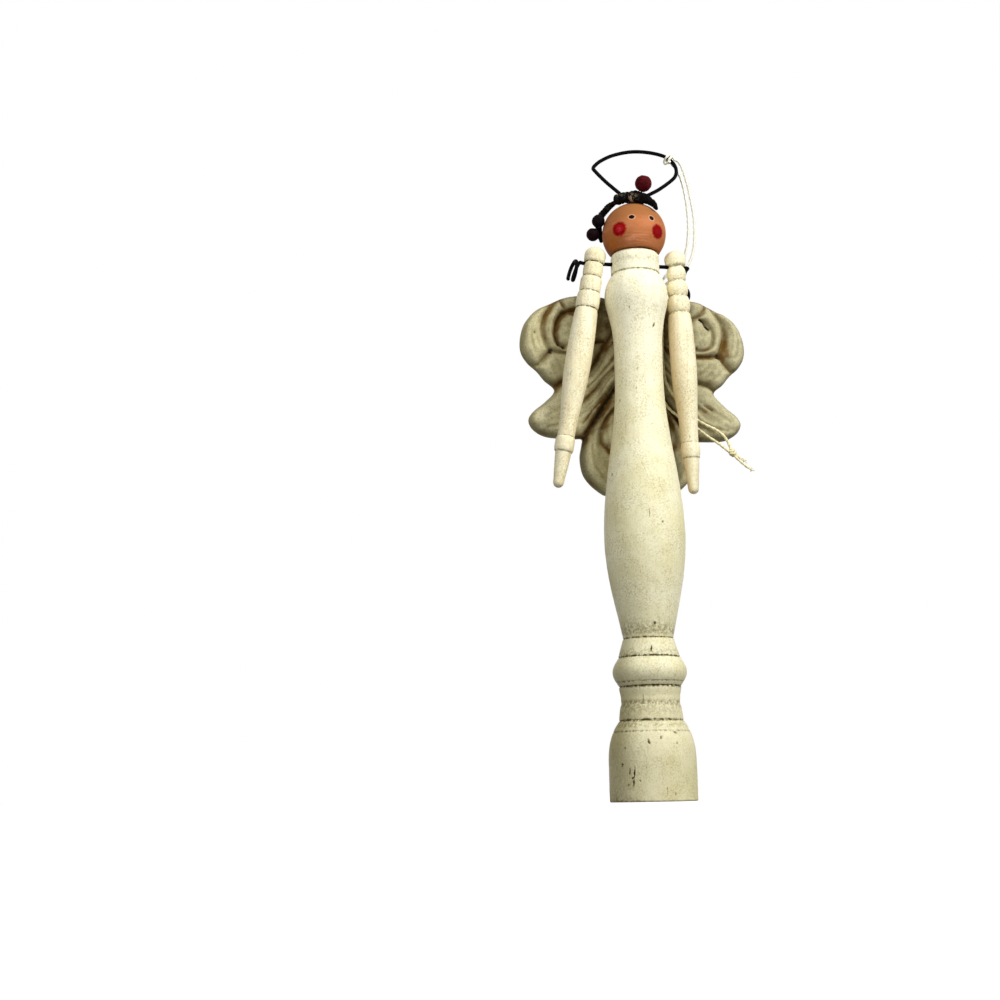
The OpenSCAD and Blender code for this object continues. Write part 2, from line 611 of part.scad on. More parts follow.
module wing_screws() color(brass) {
    wing_screw(upper_screw_z);
    wing_screw(lower_screw_z);
}

module cord_strand_a() color(flax) even_tube(strand_a, cord_d / 2, strand_sides);
module cord_strand_b() color(flax) even_tube(strand_b, cord_d / 2, strand_sides);

// Hitch: two turns of cord side by side round the halo wire
module cord_hitch() color(flax) {
    aim(hitch_point, hitch_dir) rotate_extrude($fn = 48) {
        for (side = [-0.5, 0.5])
            translate([wire_r + 0.1 + cord_d / 2, side * cord_d * 0.96]) circle(d = cord_d, $fn = 32);
        translate([wire_r + 0.1 + cord_d * 0.15, -cord_d / 2]) square([cord_d * 0.7, cord_d]);
    }
}

// Knot: a rounded barrel with the two cut tails
module cord_knot() color(flax) {
    aim(knot_mid, knot_dir) rotate_extrude($fn = 48) polygon(concat(
        [[0, -knot_len / 2]],
        [for (i = [0 : 8]) let (u = -1 + i / 4) [knot_r * blend(0.45, 1, cos(90 * u)), u * knot_len / 2]],
        [[0, knot_len / 2]]));
    even_tube(tail_a, cord_d * 0.45, strand_sides);
    even_tube(tail_b, cord_d * 0.45, strand_sides);
}

body();
head();
head_dowel();
left_arm();
right_arm();
arm_wire();
halo();
garland_stem();
garland_sprig();
berry_top();
berry_side_upper();
berry_side_lower();
stalk_top();
stalk_side_upper();
stalk_side_lower();
wings();
wing_screws();
cord_strand_a();
cord_strand_b();
cord_hitch();
cord_knot();
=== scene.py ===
"""Looks of the angel doll: turned spindle, ball head, peg arms, cast wings, halo, garland and cord."""
import math

import bpy
import numpy as np
from mathutils import Matrix, Vector


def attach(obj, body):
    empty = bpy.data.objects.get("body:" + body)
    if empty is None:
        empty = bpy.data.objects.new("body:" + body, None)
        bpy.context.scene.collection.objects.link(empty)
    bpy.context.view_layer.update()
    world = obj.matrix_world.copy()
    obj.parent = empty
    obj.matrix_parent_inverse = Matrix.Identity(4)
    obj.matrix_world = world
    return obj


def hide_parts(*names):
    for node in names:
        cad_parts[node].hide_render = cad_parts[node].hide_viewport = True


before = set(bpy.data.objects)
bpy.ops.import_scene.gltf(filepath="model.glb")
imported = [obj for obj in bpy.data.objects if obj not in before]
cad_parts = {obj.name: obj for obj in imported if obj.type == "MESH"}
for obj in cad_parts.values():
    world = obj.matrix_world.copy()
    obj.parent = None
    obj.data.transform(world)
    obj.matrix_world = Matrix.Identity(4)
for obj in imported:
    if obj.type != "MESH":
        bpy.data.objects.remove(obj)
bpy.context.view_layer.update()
MM = 0.001
DOLL = "doll"
scene = bpy.context.scene
scene.view_settings.view_transform = "Standard"

# Sizes shared with the solids, in millimetres; angles in degrees
FOOT_R, FOOT_TOP_R, FOOT_H = 16.65, 12.4, 30.0
NECK_R, NECK_H = 11.25, 13.4
RING_R, RING_SEAT_R, RING_H = 14.15, 11.85, 10.6
THROAT_R, THROAT_H = 9.6, 7.6
BELLY_R, BELLY_H = 15.7, 38.9
WAIST_R, WAIST_H = 9.5, 64.5
SHOULDER_R, SHOULDER_H = 12.5, 32.0
CREST_H, COLLAR_R, COLLAR_H = 9.5, 9.65, 9.1
GROOVE, EDGE_ROUND, COLLAR_ROUND = 0.5, 0.6, 2.6
FOOT_TOP = FOOT_H
NECK_TOP = FOOT_TOP + NECK_H
RING_TOP = NECK_TOP + RING_H
THROAT_Z = RING_TOP + THROAT_H
BELLY_Z = THROAT_Z + BELLY_H
WAIST_Z = BELLY_Z + WAIST_H
SHOULDER_Z = WAIST_Z + SHOULDER_H
COLLAR_Z = SHOULDER_Z + CREST_H
COLLAR_TOP = COLLAR_Z + COLLAR_H
HEAD_R, HEAD_FLAT_R, HEAD_TURN = 12.7, 10.0, -12.0
HEAD_Z = COLLAR_TOP + math.sqrt(HEAD_R ** 2 - HEAD_FLAT_R ** 2)
CROWN_Z = HEAD_Z + HEAD_R
HEAD_MID = np.array([0.0, 0.0, HEAD_Z])
DOWEL_R, DOWEL_UP, DOWEL_DOWN, GLUE = 3.0, 9.0, 14.0, 0.05
CROWN_HOLE_R, CROWN_HOLE_H = 1.9, 8.0
WIRE_R, WIRE_FIT = 0.75, 0.08
WIRE_Z = COLLAR_TOP - 5.0
LEFT_LEAN, RIGHT_LEAN = 10.8, 2.4
KNOB_R, KNOB_H, KNOB_DOME = 4.3, 6.8, 3.6
BEAD_TOPS = (0.0, -5.9, -12.3, -19.2)
BEADS_H = -BEAD_TOPS[-1]
BEAD_R, BEAD_STEP = 3.9, 0.375
SHAFT_TOP_R, SHAFT_R, SHAFT_LOW_R, SHAFT_H = 4.7, 5.15, 3.8, 52.7
CUFF_R, CUFF_H = 3.85, 6.1
HAND_R, TIP_R, HAND_H = 3.15, 2.1, 14.4
SWELL_AT = 0.4
LEFT_GAP, RIGHT_GAP = 2.3, 0.3
ARM_DROP = WIRE_Z - SHOULDER_Z
LEFT_X = SHOULDER_R + LEFT_GAP + SHAFT_TOP_R - ARM_DROP * math.tan(math.radians(LEFT_LEAN))
RIGHT_X = SHOULDER_R + RIGHT_GAP + SHAFT_TOP_R - ARM_DROP * math.tan(math.radians(RIGHT_LEAN))
WIRE_SHOW = 0.15
WIRE_LEFT_END = LEFT_X + KNOB_R / math.cos(math.radians(LEFT_LEAN)) + WIRE_SHOW
WIRE_RIGHT_END = RIGHT_X + KNOB_R / math.cos(math.radians(RIGHT_LEAN)) + WIRE_SHOW
COIL_R, COIL_PITCH, COIL_BEND, COIL_TURNS = 3.8, 1.95, 0.85, 1.5
HALO_HALF_W, HALO_H, HALO_LEAN, LEG_X = 16.75, 25.0, 12.0, 1.0
SEAT_Y, PLATE_T = 12.2, 3.4
WING_BACK = SEAT_Y + PLATE_T
WING_BOTTOM, WING_TOP, WING_SHIFT = 119.0, 201.2, 2.0
SCREW_HEIGHTS = (SHOULDER_Z - 2.0, WING_BOTTOM + 11.0)
SCREW_R, SCREW_GRIP = 1.2, 8.0
CORD_R, HITCH_AT = 0.55, 0.60


# Camera at the photograph's viewing angle: the doll stands turned a little to its own left
# Angles in degrees, place in metres, lens and sensor in millimetres
CAMERA_PITCH, CAMERA_ROLL, CAMERA_TURN = 10.07, 1.17, -12
CAMERA_PLACE = (-0.0558, -0.6365, 0.0037)
LENS, SENSOR = 59.76, 36.0


def make_camera():
    pitch, roll = math.radians(CAMERA_PITCH), math.radians(CAMERA_ROLL)
    turn = Matrix.Rotation(math.radians(CAMERA_TURN), 3, "Z")
    forward = turn @ Vector((0, math.cos(pitch), math.sin(pitch)))
    level = turn @ Vector((1, 0, 0))
    rise = level.cross(forward)
    right = level * math.cos(roll) - rise * math.sin(roll)
    up = rise * math.cos(roll) + level * math.sin(roll)
    data = bpy.data.cameras.new("camera")
    data.sensor_width = SENSOR
    data.lens = LENS
    data.clip_start = 0.005
    cam = bpy.data.objects.new("camera", data)
    axes = Matrix((right, up, -forward)).transposed().to_4x4()
    cam.matrix_world = Matrix.Translation(turn @ Vector(CAMERA_PLACE)) @ axes
    scene.collection.objects.link(cam)
    scene.camera = cam


make_camera()


# Colour and node helpers
def srgb(r, g, b):
    def lin(c):
        c = c / 255.0
        return c / 12.92 if c <= 0.04045 else ((c + 0.055) / 1.055) ** 2.4
    return (lin(r), lin(g), lin(b), 1.0)


class Paint:
    """A material with a principled shader, and short calls that add nodes to it."""

    def __init__(self, name, roughness=0.6, **sockets):
        self.material = bpy.data.materials.new(name)
        self.material.use_nodes = True
        self.tree = self.material.node_tree
        self.shader = self.tree.nodes["Principled BSDF"]
        self.shader.inputs["Roughness"].default_value = roughness
        for key, value in sockets.items():
            self.shader.inputs[key.replace("_", " ")].default_value = value
        self.place = self.tree.nodes.new("ShaderNodeTexCoord").outputs["Object"]
        self.base = None

    def put(self, socket, value):
        if isinstance(value, bpy.types.NodeSocket):
            self.tree.links.new(value, socket)
        else:
            socket.default_value = value

    def node(self, kind, inputs, **settings):
        node = self.tree.nodes.new("ShaderNode" + kind)
        for key, value in settings.items():
            setattr(node, key, value)
        for key, value in inputs.items():
            self.put(node.inputs[key], value)
        return node

    def stretch(self, scale):
        return self.node("Mapping", {"Vector": self.place, "Scale": scale}).outputs["Vector"]

    def noise(self, scale, detail=3.0, rough=0.5, vector=None, distortion=0.0):
        inputs = {"Vector": vector or self.place, "Scale": scale, "Detail": detail, "Roughness": rough,
                  "Distortion": distortion}
        return self.node("TexNoise", inputs).outputs["Fac"]

    def cells(self, scale):
        return self.node("TexVoronoi", {"Vector": self.place, "Scale": scale}).outputs["Distance"]

    def attribute(self, name):
        return self.node("Attribute", {}, attribute_name=name).outputs["Fac"]

    def math(self, kind, a, b=0.0):
        return self.node("Math", {0: a, 1: b}, operation=kind).outputs[0]

    def times(self, a, b):
        return self.math("MULTIPLY", a, b)

    def span(self, value, low, high, to_low=0.0, to_high=1.0):
        inputs = {"Value": value, "From Min": low, "From Max": high, "To Min": to_low, "To Max": to_high}
        return self.node("MapRange", inputs, interpolation_type="SMOOTHSTEP").outputs["Result"]

    def mix(self, share, a, b):
        return self.node("Mix", {"Factor": share, 6: a, 7: b}, data_type="RGBA").outputs[2]

    def spot(self, middle, radii):
        """Distance from a point, with 1 at the given radii along X, Y and Z."""
        middle, radii = (tuple(v * MM for v in triple) for triple in (middle, radii))
        shift = self.node("VectorMath", {0: self.place, 1: middle}, operation="SUBTRACT").outputs[0]
        scale = self.node("VectorMath", {0: shift, 1: radii}, operation="DIVIDE").outputs[0]
        return self.node("VectorMath", {0: scale}, operation="LENGTH").outputs["Value"]

    def axis(self, name):
        return self.node("SeparateXYZ", {0: self.place}).outputs[name]

    def bump(self, height, strength, distance=0.0002):
        bump = self.node("Bump", {"Strength": strength, "Distance": distance, "Height": height})
        self.put(self.shader.inputs["Normal"], bump.outputs["Normal"])

    def tint(self, share, r, g, b):
        """Lays a colour over the base by a share."""
        self.base = self.mix(share, self.base, srgb(r, g, b))

    def colour(self, value):
        self.put(self.shader.inputs["Base Color"], value)

    def rough(self, value):
        self.put(self.shader.inputs["Roughness"], value)


def cream_paint(name, lit, warm, grain, pale):
    """Antique cream paint over wood: mottled, finely speckled, with grime kept in the grooves and nicks;
    painted light on the upper part, painted shade towards the foot and on the lower left, and painted shade
    on the arms' inner sides.
    """
    p = Paint(name, 0.62, Specular_IOR_Level=0.3)
    mottle = p.span(p.noise(55, 4, 0.6), 0.35, 0.68)
    p.base = p.mix(mottle, srgb(*lit), srgb(*warm))
    # Painted light: the upper part is lighter, by the share given as pale
    p.tint(p.span(p.axis("Z"), 0.14, 0.20, 0, pale), 250, 247, 224)
    # Painted shade: darker towards the foot
    p.tint(p.span(p.axis("Z"), 0.085, 0.01, 0, 0.36), 212, 200, 146)
    # Painted shade on the lower left
    shade_low_left = p.span(p.spot((-17, -3, 25), (10, 12, 60)), 1.25, 0.3, 0, 0.55)
    p.tint(shade_low_left, 140, 130, 82)
    streak = p.span(p.noise(1, 4, 0.65, p.stretch((620, 620, 46))), 0.47, 0.70)
    p.tint(p.times(streak, grain), 206, 176, 128)
    fine = p.span(p.noise(1500, 3, 0.75), 0.42, 0.68)
    patch = p.span(p.noise(120, 3, 0.6), 0.36, 0.66, 0.25, 0.62)
    p.tint(p.times(fine, patch), 160, 146, 94)
    pore = p.span(p.noise(1, 2, 0.5, p.stretch((1500, 1500, 420))), 0.71, 0.79)
    p.tint(p.times(pore, 0.05 + 0.8 * grain), 104, 86, 48)
    # Painted shade with a warm reflected tint on the arms' inner sides
    p.tint(p.times(p.attribute("inner_side_shade"), 0.6), 184, 150, 104)
    rubbed_and_lit = p.span(p.noise(900, 4, 0.7), 0.34, 0.62, 0.12, 1.45)
    # Grime in the grooves and nicks, and painted shade on the spindle's lower left, darken the paint
    dirt_and_shade = p.times(p.attribute("grime_and_shade"), rubbed_and_lit)
    p.tint(p.span(dirt_and_shade, 0.04, 0.66), 114, 104, 62)
    p.tint(p.span(dirt_and_shade, 0.45, 1.15), 38, 27, 13)
    p.colour(p.base)
    p.rough(p.span(mottle, 0, 1, 0.55, 0.72))
    relief = p.math("ADD", p.times(p.noise(700, 4, 0.65), 0.6), p.times(streak, -0.3))
    p.bump(p.math("SUBTRACT", relief, p.times(pore, 0.5)), 0.3, 0.0002)
    return p.material


# Face, from the head's middle: cheeks with how dark each is, and eyes with their radii
CHEEKS = (((-8.8, -9.1, -1.0), 0.0), ((6.7, -10.6, -1.9), 0.65))
CHEEK_R = (3.3, 3.3, 3.2)
EYES = (((-4.2, -11.5, 3.3), (1.15, 1.1, 0.88)), ((4.0, -11.6, 3.2), (1.05, 1.1, 0.98)))


def head_paint():
    """Skin-tone paint brushed on in bands, with two dot eyes and two sponged cheeks; a painted highlight on
    the lower front and round each eye, and painted shade on the lower left.
    """
    p = Paint("head_paint", 0.6, Specular_IOR_Level=0.04)
    tone = p.span(p.noise(130, 4, 0.6), 0.3, 0.7)
    p.base = p.mix(tone, srgb(184, 115, 72), srgb(165, 101, 58))
    strokes = p.noise(1, 4, 0.6, p.stretch((95, 95, 900)), 0.6)
    # Pale brush strokes all over, gathered on the lower front as a painted highlight
    low_front = p.span(p.spot(HEAD_MID + (-2.0, -11.4, -5.0), (6.5, 6.0, 3.0)), 1.1, 0.2)
    brushed_and_highlight = p.times(p.span(strokes, 0.45, 0.66), p.span(low_front, 0, 1, 0.12, 0.7))
    p.tint(brushed_and_highlight, 226, 152, 116)
    # Painted shade on the head's lower left
    shade_low_left = p.span(p.spot(HEAD_MID + (-11.6, -3.4, -6.6), (7.0, 8.5, 7.0)), 1.15, 0.25)
    p.tint(p.times(shade_low_left, 0.6), 152, 84, 18)
    crown = p.span(p.axis("Z"), (HEAD_Z + 1.0) * MM, (HEAD_Z + 7.0) * MM, 0.0, 0.9)
    p.tint(crown, 152, 98, 56)
    fleck = p.span(p.noise(1100, 3, 0.7), 0.54, 0.72)
    p.tint(p.times(fleck, 0.30), 132, 72, 36)
    sponge = p.noise(1300, 4, 0.75)
    for place, deep in CHEEKS:
        reach = p.spot(HEAD_MID + place, CHEEK_R)
        ragged = p.math("ADD", reach, p.span(sponge, 0.3, 0.7, -0.13, 0.13))
        mask = p.span(ragged, 1.06, 0.78)
        pale = p.times(p.span(reach, 0.62, 0.10), p.span(sponge, 0.42, 0.58))
        red = p.mix(p.span(sponge, 0.40, 0.60, deep * 0.6, 1), srgb(168, 9, 13), srgb(98, 2, 5))
        red = p.mix(p.times(pale, 0.75 - deep), red, srgb(214, 62, 70))
        p.base = p.mix(mask, p.base, red)
    for place, radii in EYES:
        reach = p.spot(HEAD_MID + place, radii)
        # Pale ring round each eye: a painted highlight
        ring = p.span(p.math("ABSOLUTE", p.math("SUBTRACT", reach, 1.22)), 0.24, 0.04)
        p.tint(p.times(ring, 0.45), 230, 188, 158)
        p.tint(p.span(reach, 1.05, 0.93), 8, 4, 5)
    p.colour(p.base)
    p.rough(p.span(tone, 0, 1, 0.46, 0.62))
    p.bump(p.math("ADD", p.noise(520, 5, 0.65), strokes), 0.16, 0.0002)
    return p.material


def wire_paint():
    p = Paint("black_wire", 0.6, Specular_IOR_Level=0.03)
    worn = p.span(p.noise(380, 4, 0.65), 0.56, 0.76)
    p.colour(p.mix(worn, srgb(4, 4, 6), srgb(20, 18, 17)))
    p.rough(p.span(p.noise(260, 3), 0.3, 0.7, 0.46, 0.66))
    p.bump(p.noise(900, 4, 0.6), 0.15, 0.0001)
    return p.material


def bark_paint():
    p = Paint("wrapped_stem", 0.9, Specular_IOR_Level=0.03)
    fibre = p.noise(1, 4, 0.7, p.stretch((700, 700, 700)), 0.8)
    p.base = p.mix(p.span(fibre, 0.38, 0.72), srgb(7, 6, 7), srgb(26, 19, 15))
    flake = p.span(p.noise(520, 3, 0.6), 0.50, 0.62)
    p.tint(p.times(flake, p.attribute("lichen")), 112, 110, 92)
    p.tint(p.times(flake, p.attribute("bare")), 196, 168, 142)
    p.colour(p.base)
    p.bump(fibre, 0.6, 0.0003)
    return p.material


def berry_paint():
    p = Paint("berry", 0.65, Specular_IOR_Level=0.04)
    tone = p.span(p.noise(330, 4, 0.65), 0.34, 0.66)
    p.base = p.mix(tone, srgb(86, 13, 18), srgb(48, 7, 11))
    speck = p.span(p.cells(900), 0.36, 0.20)
    p.tint(p.times(speck, 0.8), 12, 4, 5)
    p.tint(p.span(p.attribute("shade"), 0, 0.95), 6, 3, 4)
    p.colour(p.base)
    p.bump(p.noise(800, 4, 0.7), 0.4, 0.0002)
    return p.material


def wing_paint():
    """Cast stone colour with a brown wash that settles in the recesses; painted shade beside the body, a
    painted shadow between the left arm and the body, a painted highlight on the ridges, painted light on two
    shaded lobes, and painted light on the left wing with painted shade on the right.
    """
    p = Paint("cast_wing", 0.75, Specular_IOR_Level=0.2)
    tone = p.span(p.noise(90, 4, 0.6), 0.32, 0.70)
    light = p.mix(tone, srgb(182, 175, 133), srgb(158, 149, 106))
    grey = p.mix(tone, srgb(162, 156, 120), srgb(141, 134, 97))
    # Painted light and shade: the left wing lighter and the right wing darker
    p.base = p.mix(p.span(p.axis("X"), -0.012, 0.016), light, grey)
    small = p.span(p.noise(210, 4, 0.7), 0.28, 0.68, 0.6, 1.2)
    large = p.span(p.noise(75, 2), 0.35, 0.62, 0.5, 1.2)
    wash_and_shade = p.times(p.attribute("wash_and_shade"), p.times(small, large))
    # Painted highlight on the raised ridges, and painted light on two lobes that lie in shade
    p.tint(p.times(p.attribute("ridge"), 0.42), 220, 212, 170)
    # Brown wash in the recesses, with painted shade beside the body
    p.tint(p.span(wash_and_shade, 0.0, 0.95), 104, 76, 28)
    dark = p.times(p.attribute("dark"), p.span(p.noise(420, 3, 0.6), 0.3, 0.6, 0.6, 1.2))
    # Dark cores in the deepest valleys and pits, and a painted shadow between the left arm and the body
    p.tint(p.span(dark, 0.1, 1.0), 30, 18, 8)
    speck = p.span(p.noise(1400, 3, 0.75), 0.46, 0.70)
    p.tint(p.times(speck, 0.5), 104, 88, 48)
    p.colour(p.base)
    p.rough(p.span(wash_and_shade, 0, 1, 0.70, 0.85))
    p.bump(p.noise(520, 5, 0.65), 0.3, 0.0003)
    return p.material


def cord_paint():
    """Flax cord, with a painted highlight that turns its upper part nearly white."""
    p = Paint("cord", 0.85, Specular_IOR_Level=0.15, Sheen_Weight=0.25)
    ply = p.noise(1, 3, 0.6, p.stretch((2600, 2600, 900)))
    shade = p.span(ply, 0.32, 0.68)
    flax = p.mix(shade, srgb(246, 240, 204), srgb(218, 202, 140))
    pale = p.mix(shade, srgb(252, 250, 236), srgb(230, 226, 202))
    # Painted highlight: the upper part nearly white
    p.colour(p.mix(p.span(p.axis("Z"), 0.165, 0.215), flax, pale))
    p.bump(ply, 0.5, 0.0002)
    return p.material


def bare_wood():
    p = Paint("bare_wood", 0.7)
    grain = p.noise(1, 4, 0.6, p.stretch((500, 500, 40)), 0.4)
    p.colour(p.mix(p.span(grain, 0.35, 0.65), srgb(222, 192, 146), srgb(176, 136, 88)))
    p.bump(grain, 0.2, 0.0002)
    return p.material


def screw_metal():
    p = Paint("screw", 0.34, Metallic=1.0)
    tarnish = p.span(p.noise(450, 4, 0.65), 0.42, 0.68)
    p.colour(p.mix(tarnish, srgb(206, 176, 108), srgb(130, 98, 52)))
    p.rough(p.span(tarnish, 0, 1, 0.28, 0.55))
    p.bump(p.noise(1200, 3), 0.12, 0.0001)
    return p.material


PAINTS = {
    "body": cream_paint("painted_wood", (244, 240, 206), (232, 226, 182), 0.18, 0.5),
    "arm": cream_paint("arm_wood", (244, 237, 203), (236, 225, 184), 0.40, 0.0),
    "head": head_paint(),
    "wire": wire_paint(),
    "bark": bark_paint(),
    "berry": berry_paint(),
    "wing": wing_paint(),
    "cord": cord_paint(),
    "dowel": bare_wood(),
    "screw": screw_metal(),
}


# Mesh helpers
def new_object(name, points, faces):
    """A mesh object in the scene from points in millimetres."""
    mesh = bpy.data.meshes.new(name)
    mesh.from_pydata((np.asarray(points, float) * MM).tolist(), [], faces)
    mesh.update()
    obj = bpy.data.objects.new(name, mesh)
    scene.collection.objects.link(obj)
    return obj


def add_piece(name, node, points, faces, paint, body=DOLL, values=None):
    """A smooth mesh that stands for a node, rides on a body and holds values for its paint."""
    obj = new_object(name, points, faces)
    mesh = obj.data
    mesh.materials.append(PAINTS[paint])
    mesh.polygons.foreach_set("use_smooth", np.ones(len(mesh.polygons), bool))
    for key, amounts in (values or {}).items():
        layer = mesh.attributes.new(key, "FLOAT", "POINT")
        layer.data.foreach_set("value", np.asarray(amounts, np.float32))
    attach(obj, body)
    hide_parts(node)
    return obj


def join_shells(shells):
    """One list of points and faces from several."""
    points, faces, count = [], [], 0
    for p, f in shells:
        points.append(np.asarray(p, float))
        faces += [tuple(i + count for i in face) for face in f]
        count += len(p)
    return np.vstack(points), faces


def smooth_path(points, steps):
    """Curve through the points, the same as in the solids."""
    p = np.asarray(points, float)
    n = len(p) - 1
    out = []
    for i in range(n):
        a, b, c, d = p[max(i - 1, 0)], p[i], p[i + 1], p[min(i + 2, n)]
        for k in range(steps):
            t = k / steps
            bend, twist = 2 * a - 5 * b + 4 * c - d, 3 * b - a - 3 * c + d
            out.append(0.5 * (2 * b + (c - a) * t + bend * t ** 2 + twist * t ** 3))
    out.append(p[n])
    return np.array(out)


def even_path(points, spacing):
    """The same line with evenly spaced points."""
    p = np.asarray(points, float)
    s = np.concatenate([[0], np.cumsum(np.linalg.norm(np.diff(p, axis=0), axis=1))])
    t = np.linspace(0, s[-1], max(int(round(s[-1] / spacing)), 4) + 1)
    return np.column_stack([np.interp(t, s, p[:, k]) for k in range(3)])


def unit(v):
    return v / np.linalg.norm(v)


def frames_along(path):
    tangents = np.gradient(path, axis=0)
    tangents /= np.linalg.norm(tangents, axis=1)[:, None]
    first = np.array([0.0, 0.0, 1.0]) if abs(tangents[0][2]) < 0.8 else np.array([1.0, 0.0, 0.0])
    side = unit(np.cross(tangents[0], first))
    sides = []
    for t in tangents:
        side = unit(side - (side @ t) * t)
        sides.append(side)
    return tangents, np.array(sides)


def tube(path, radius, sides=12, shape=None):
    """Round tube with domed ends; shape(step, angle) scales the radius."""
    path = np.asarray(path, float)
    tangents, normals = frames_along(path)
    n = len(path)
    radii = np.broadcast_to(np.asarray(radius, float), (n,)).copy()
    angle = full_turn(sides)
    rings = []

    def ring(i, push, shrink):
        scale = np.ones(sides) if shape is None else shape(i, angle)
        other = np.cross(tangents[i], normals[i])
        r = (radii[i] * shrink * scale)[:, None]
        circle = np.cos(angle)[:, None] * normals[i] + np.sin(angle)[:, None] * other
        return path[i] + push * tangents[i] + r * circle

    for a in (80, 55, 28):
        rings.append(ring(0, -radii[0] * 0.7 * math.sin(math.radians(a)), math.cos(math.radians(a))))
    for i in range(n):
        rings.append(ring(i, 0, 1))
    for a in (28, 55, 80):
        rings.append(ring(n - 1, radii[-1] * 0.7 * math.sin(math.radians(a)), math.cos(math.radians(a))))
    return skin(rings)


def skin(rings, ends=None):
    """Closed skin over equal rings, drawn to a point at the given ends or in the middle of each end ring."""
    m, s = len(rings), len(rings[0])
    points = np.vstack(rings + [[rings[0].mean(0), rings[-1].mean(0)] if ends is None else ends])
    faces = []
    for i in range(m - 1):
        for k in range(s):
            a, b = i * s + k, i * s + (k + 1) % s
            faces.append((a, b, b + s, a + s))
    for k in range(s):
        faces.append((m * s, (k + 1) % s, k))
        faces.append((m * s + 1, (m - 1) * s + k, (m - 1) * s + (k + 1) % s))
    return points, faces


def bell(far, wide, power=2):
    """1 at no distance, falling to about a third at the given width."""
    return np.exp(-(far / wide) ** power)


def full_turn(count, start=0.0):
    return np.linspace(start, start + 2 * math.pi, count, endpoint=False)


def waves(points, size, seed, count=14):
    """Smooth unevenness: a seeded sum of plane waves about size long, near -1 to 1."""
    rng = np.random.default_rng(seed)
    total = np.zeros(len(points))
    for _ in range(count):
        d = unit(rng.normal(size=3))
        k = 2 * math.pi / (size * rng.uniform(0.6, 1.6))
        total += np.sin(points @ d * k + rng.uniform(0, 2 * math.pi))
    return total / math.sqrt(count)


def cut(obj, cutter):
    """Cuts a closed shell out of a piece."""
    tool = new_object("cutter", *cutter)
    mesh = tool.data
    mod = obj.modifiers.new("cut", "BOOLEAN")
    mod.operation = "DIFFERENCE"
    mod.solver = "EXACT"
    mod.object = tool
    graph = bpy.context.evaluated_depsgraph_get()
    made = bpy.data.meshes.new_from_object(obj.evaluated_get(graph))
    obj.modifiers.remove(mod)
    old = obj.data
    obj.data = made
    bpy.data.meshes.remove(old)
    bpy.data.objects.remove(tool)
    bpy.data.meshes.remove(mesh)


def rod(a, b, r, sides=32):
    """Plain closed rod, for cutting holes."""
    a, b = np.asarray(a, float), np.asarray(b, float)
    t = unit(b - a)
    n = unit(np.cross(t, [0.3, 0.9, 0.2]))
    angle = full_turn(sides)[:, None]
    loop = r * (np.cos(angle) * n + np.sin(angle) * np.cross(t, n))
    return skin([a + loop, b + loop])


# Cord: routes as in the solids
STRAND_A = [
    (17.9, 1.2, 257.3), (21.1, 1.6, 255.4), (23.7, 2.8, 249.6), (25.8, 4.3, 242.4), (27.4, 5.7, 235.2),
    (28, 7.1, 228.5), (27.8, 8.3, 222.2), (26.2, 9.4, 216.5), (22.7, 9.8, 212), (18.2, 9.8, 208.9),
    (14.8, 9.5, 204.9), (13.6, 9.3, 198.8), (13.3, 8.9, 190.8), (13, 8.4, 181.7), (12.7, 7.9, 173.6),
    (13.4, 7.4, 165.2), (16.4, 7.1, 159.4), (20.8, 7, 154), (25.3, 7.2, 150.2), (29.6, 7.5, 147.9),
    (33.6, 7.5, 146.1), (36.8, 7.4, 143.6), (38.6, 7.1, 140.5), (39.3, 6.9, 138.1)]
STRAND_B = [
    (17.2, 2.2, 256), (20.1, 2.8, 253), (22.5, 3.8, 247.9), (24.2, 5, 241.1), (25.2, 6.3, 234.3),
    (25.4, 7.4, 227.9), (24.7, 8.5, 221.4), (22.7, 9.5, 216.7), (19.3, 10.1, 213.2),
    (15.3, 10.1, 209.5), (12.7, 9.9, 204.4), (11.8, 9.8, 197.7), (11.4, 9.2, 188.6), (10.9, 8.6, 178.6),
    (10.6, 8.1, 168.5), (11.5, 7.6, 159.5), (14.2, 7.3, 154.3), (17.8, 7, 151.2), (22.1, 7, 148.6),
    (26.1, 7.2, 146), (30, 7.4, 143.3), (34, 7.3, 140.7), (36.9, 7, 138.4), (38.4, 6.8, 137.2)]
KNOT_MID = np.array([39.9, 6.8, 136.7])
KNOT_DIR = unit(np.array([0.72, 0.0, -0.69]))
TAIL_A = [(40.9, 6.8, 136.1), (43.3, 6.9, 134.4), (45.5, 7.1, 133)]
TAIL_B = [(40.7, 6.6, 135.3), (44, 6.3, 132.2), (47.7, 6, 129.3)]
PLY_PITCH = 2.4


def turned(p):
    """Turns a point about the doll's axis with the head."""
    c, s = math.cos(math.radians(HEAD_TURN)), math.sin(math.radians(HEAD_TURN))
    return np.array([p[0] * c - p[1] * s, p[0] * s + p[1] * c, p[2]])


def twisted(path, r, sides=12, spacing=0.45):
    """Two-ply cord: the section has two lobes that turn along the line."""
    line = even_path(path, spacing)

    def lobes(i, angle):
        return 0.95 + 0.13 * np.cos(2 * (angle - math.pi * i * spacing / PLY_PITCH))
    return tube(line, r, sides, lobes), line


def halo_plane(p):
    rise = p[1] * HALO_H
    lean = math.radians(HALO_LEAN)
    return np.array([p[0] * HALO_HALF_W, rise * math.sin(lean), CROWN_Z + rise * math.cos(lean)])


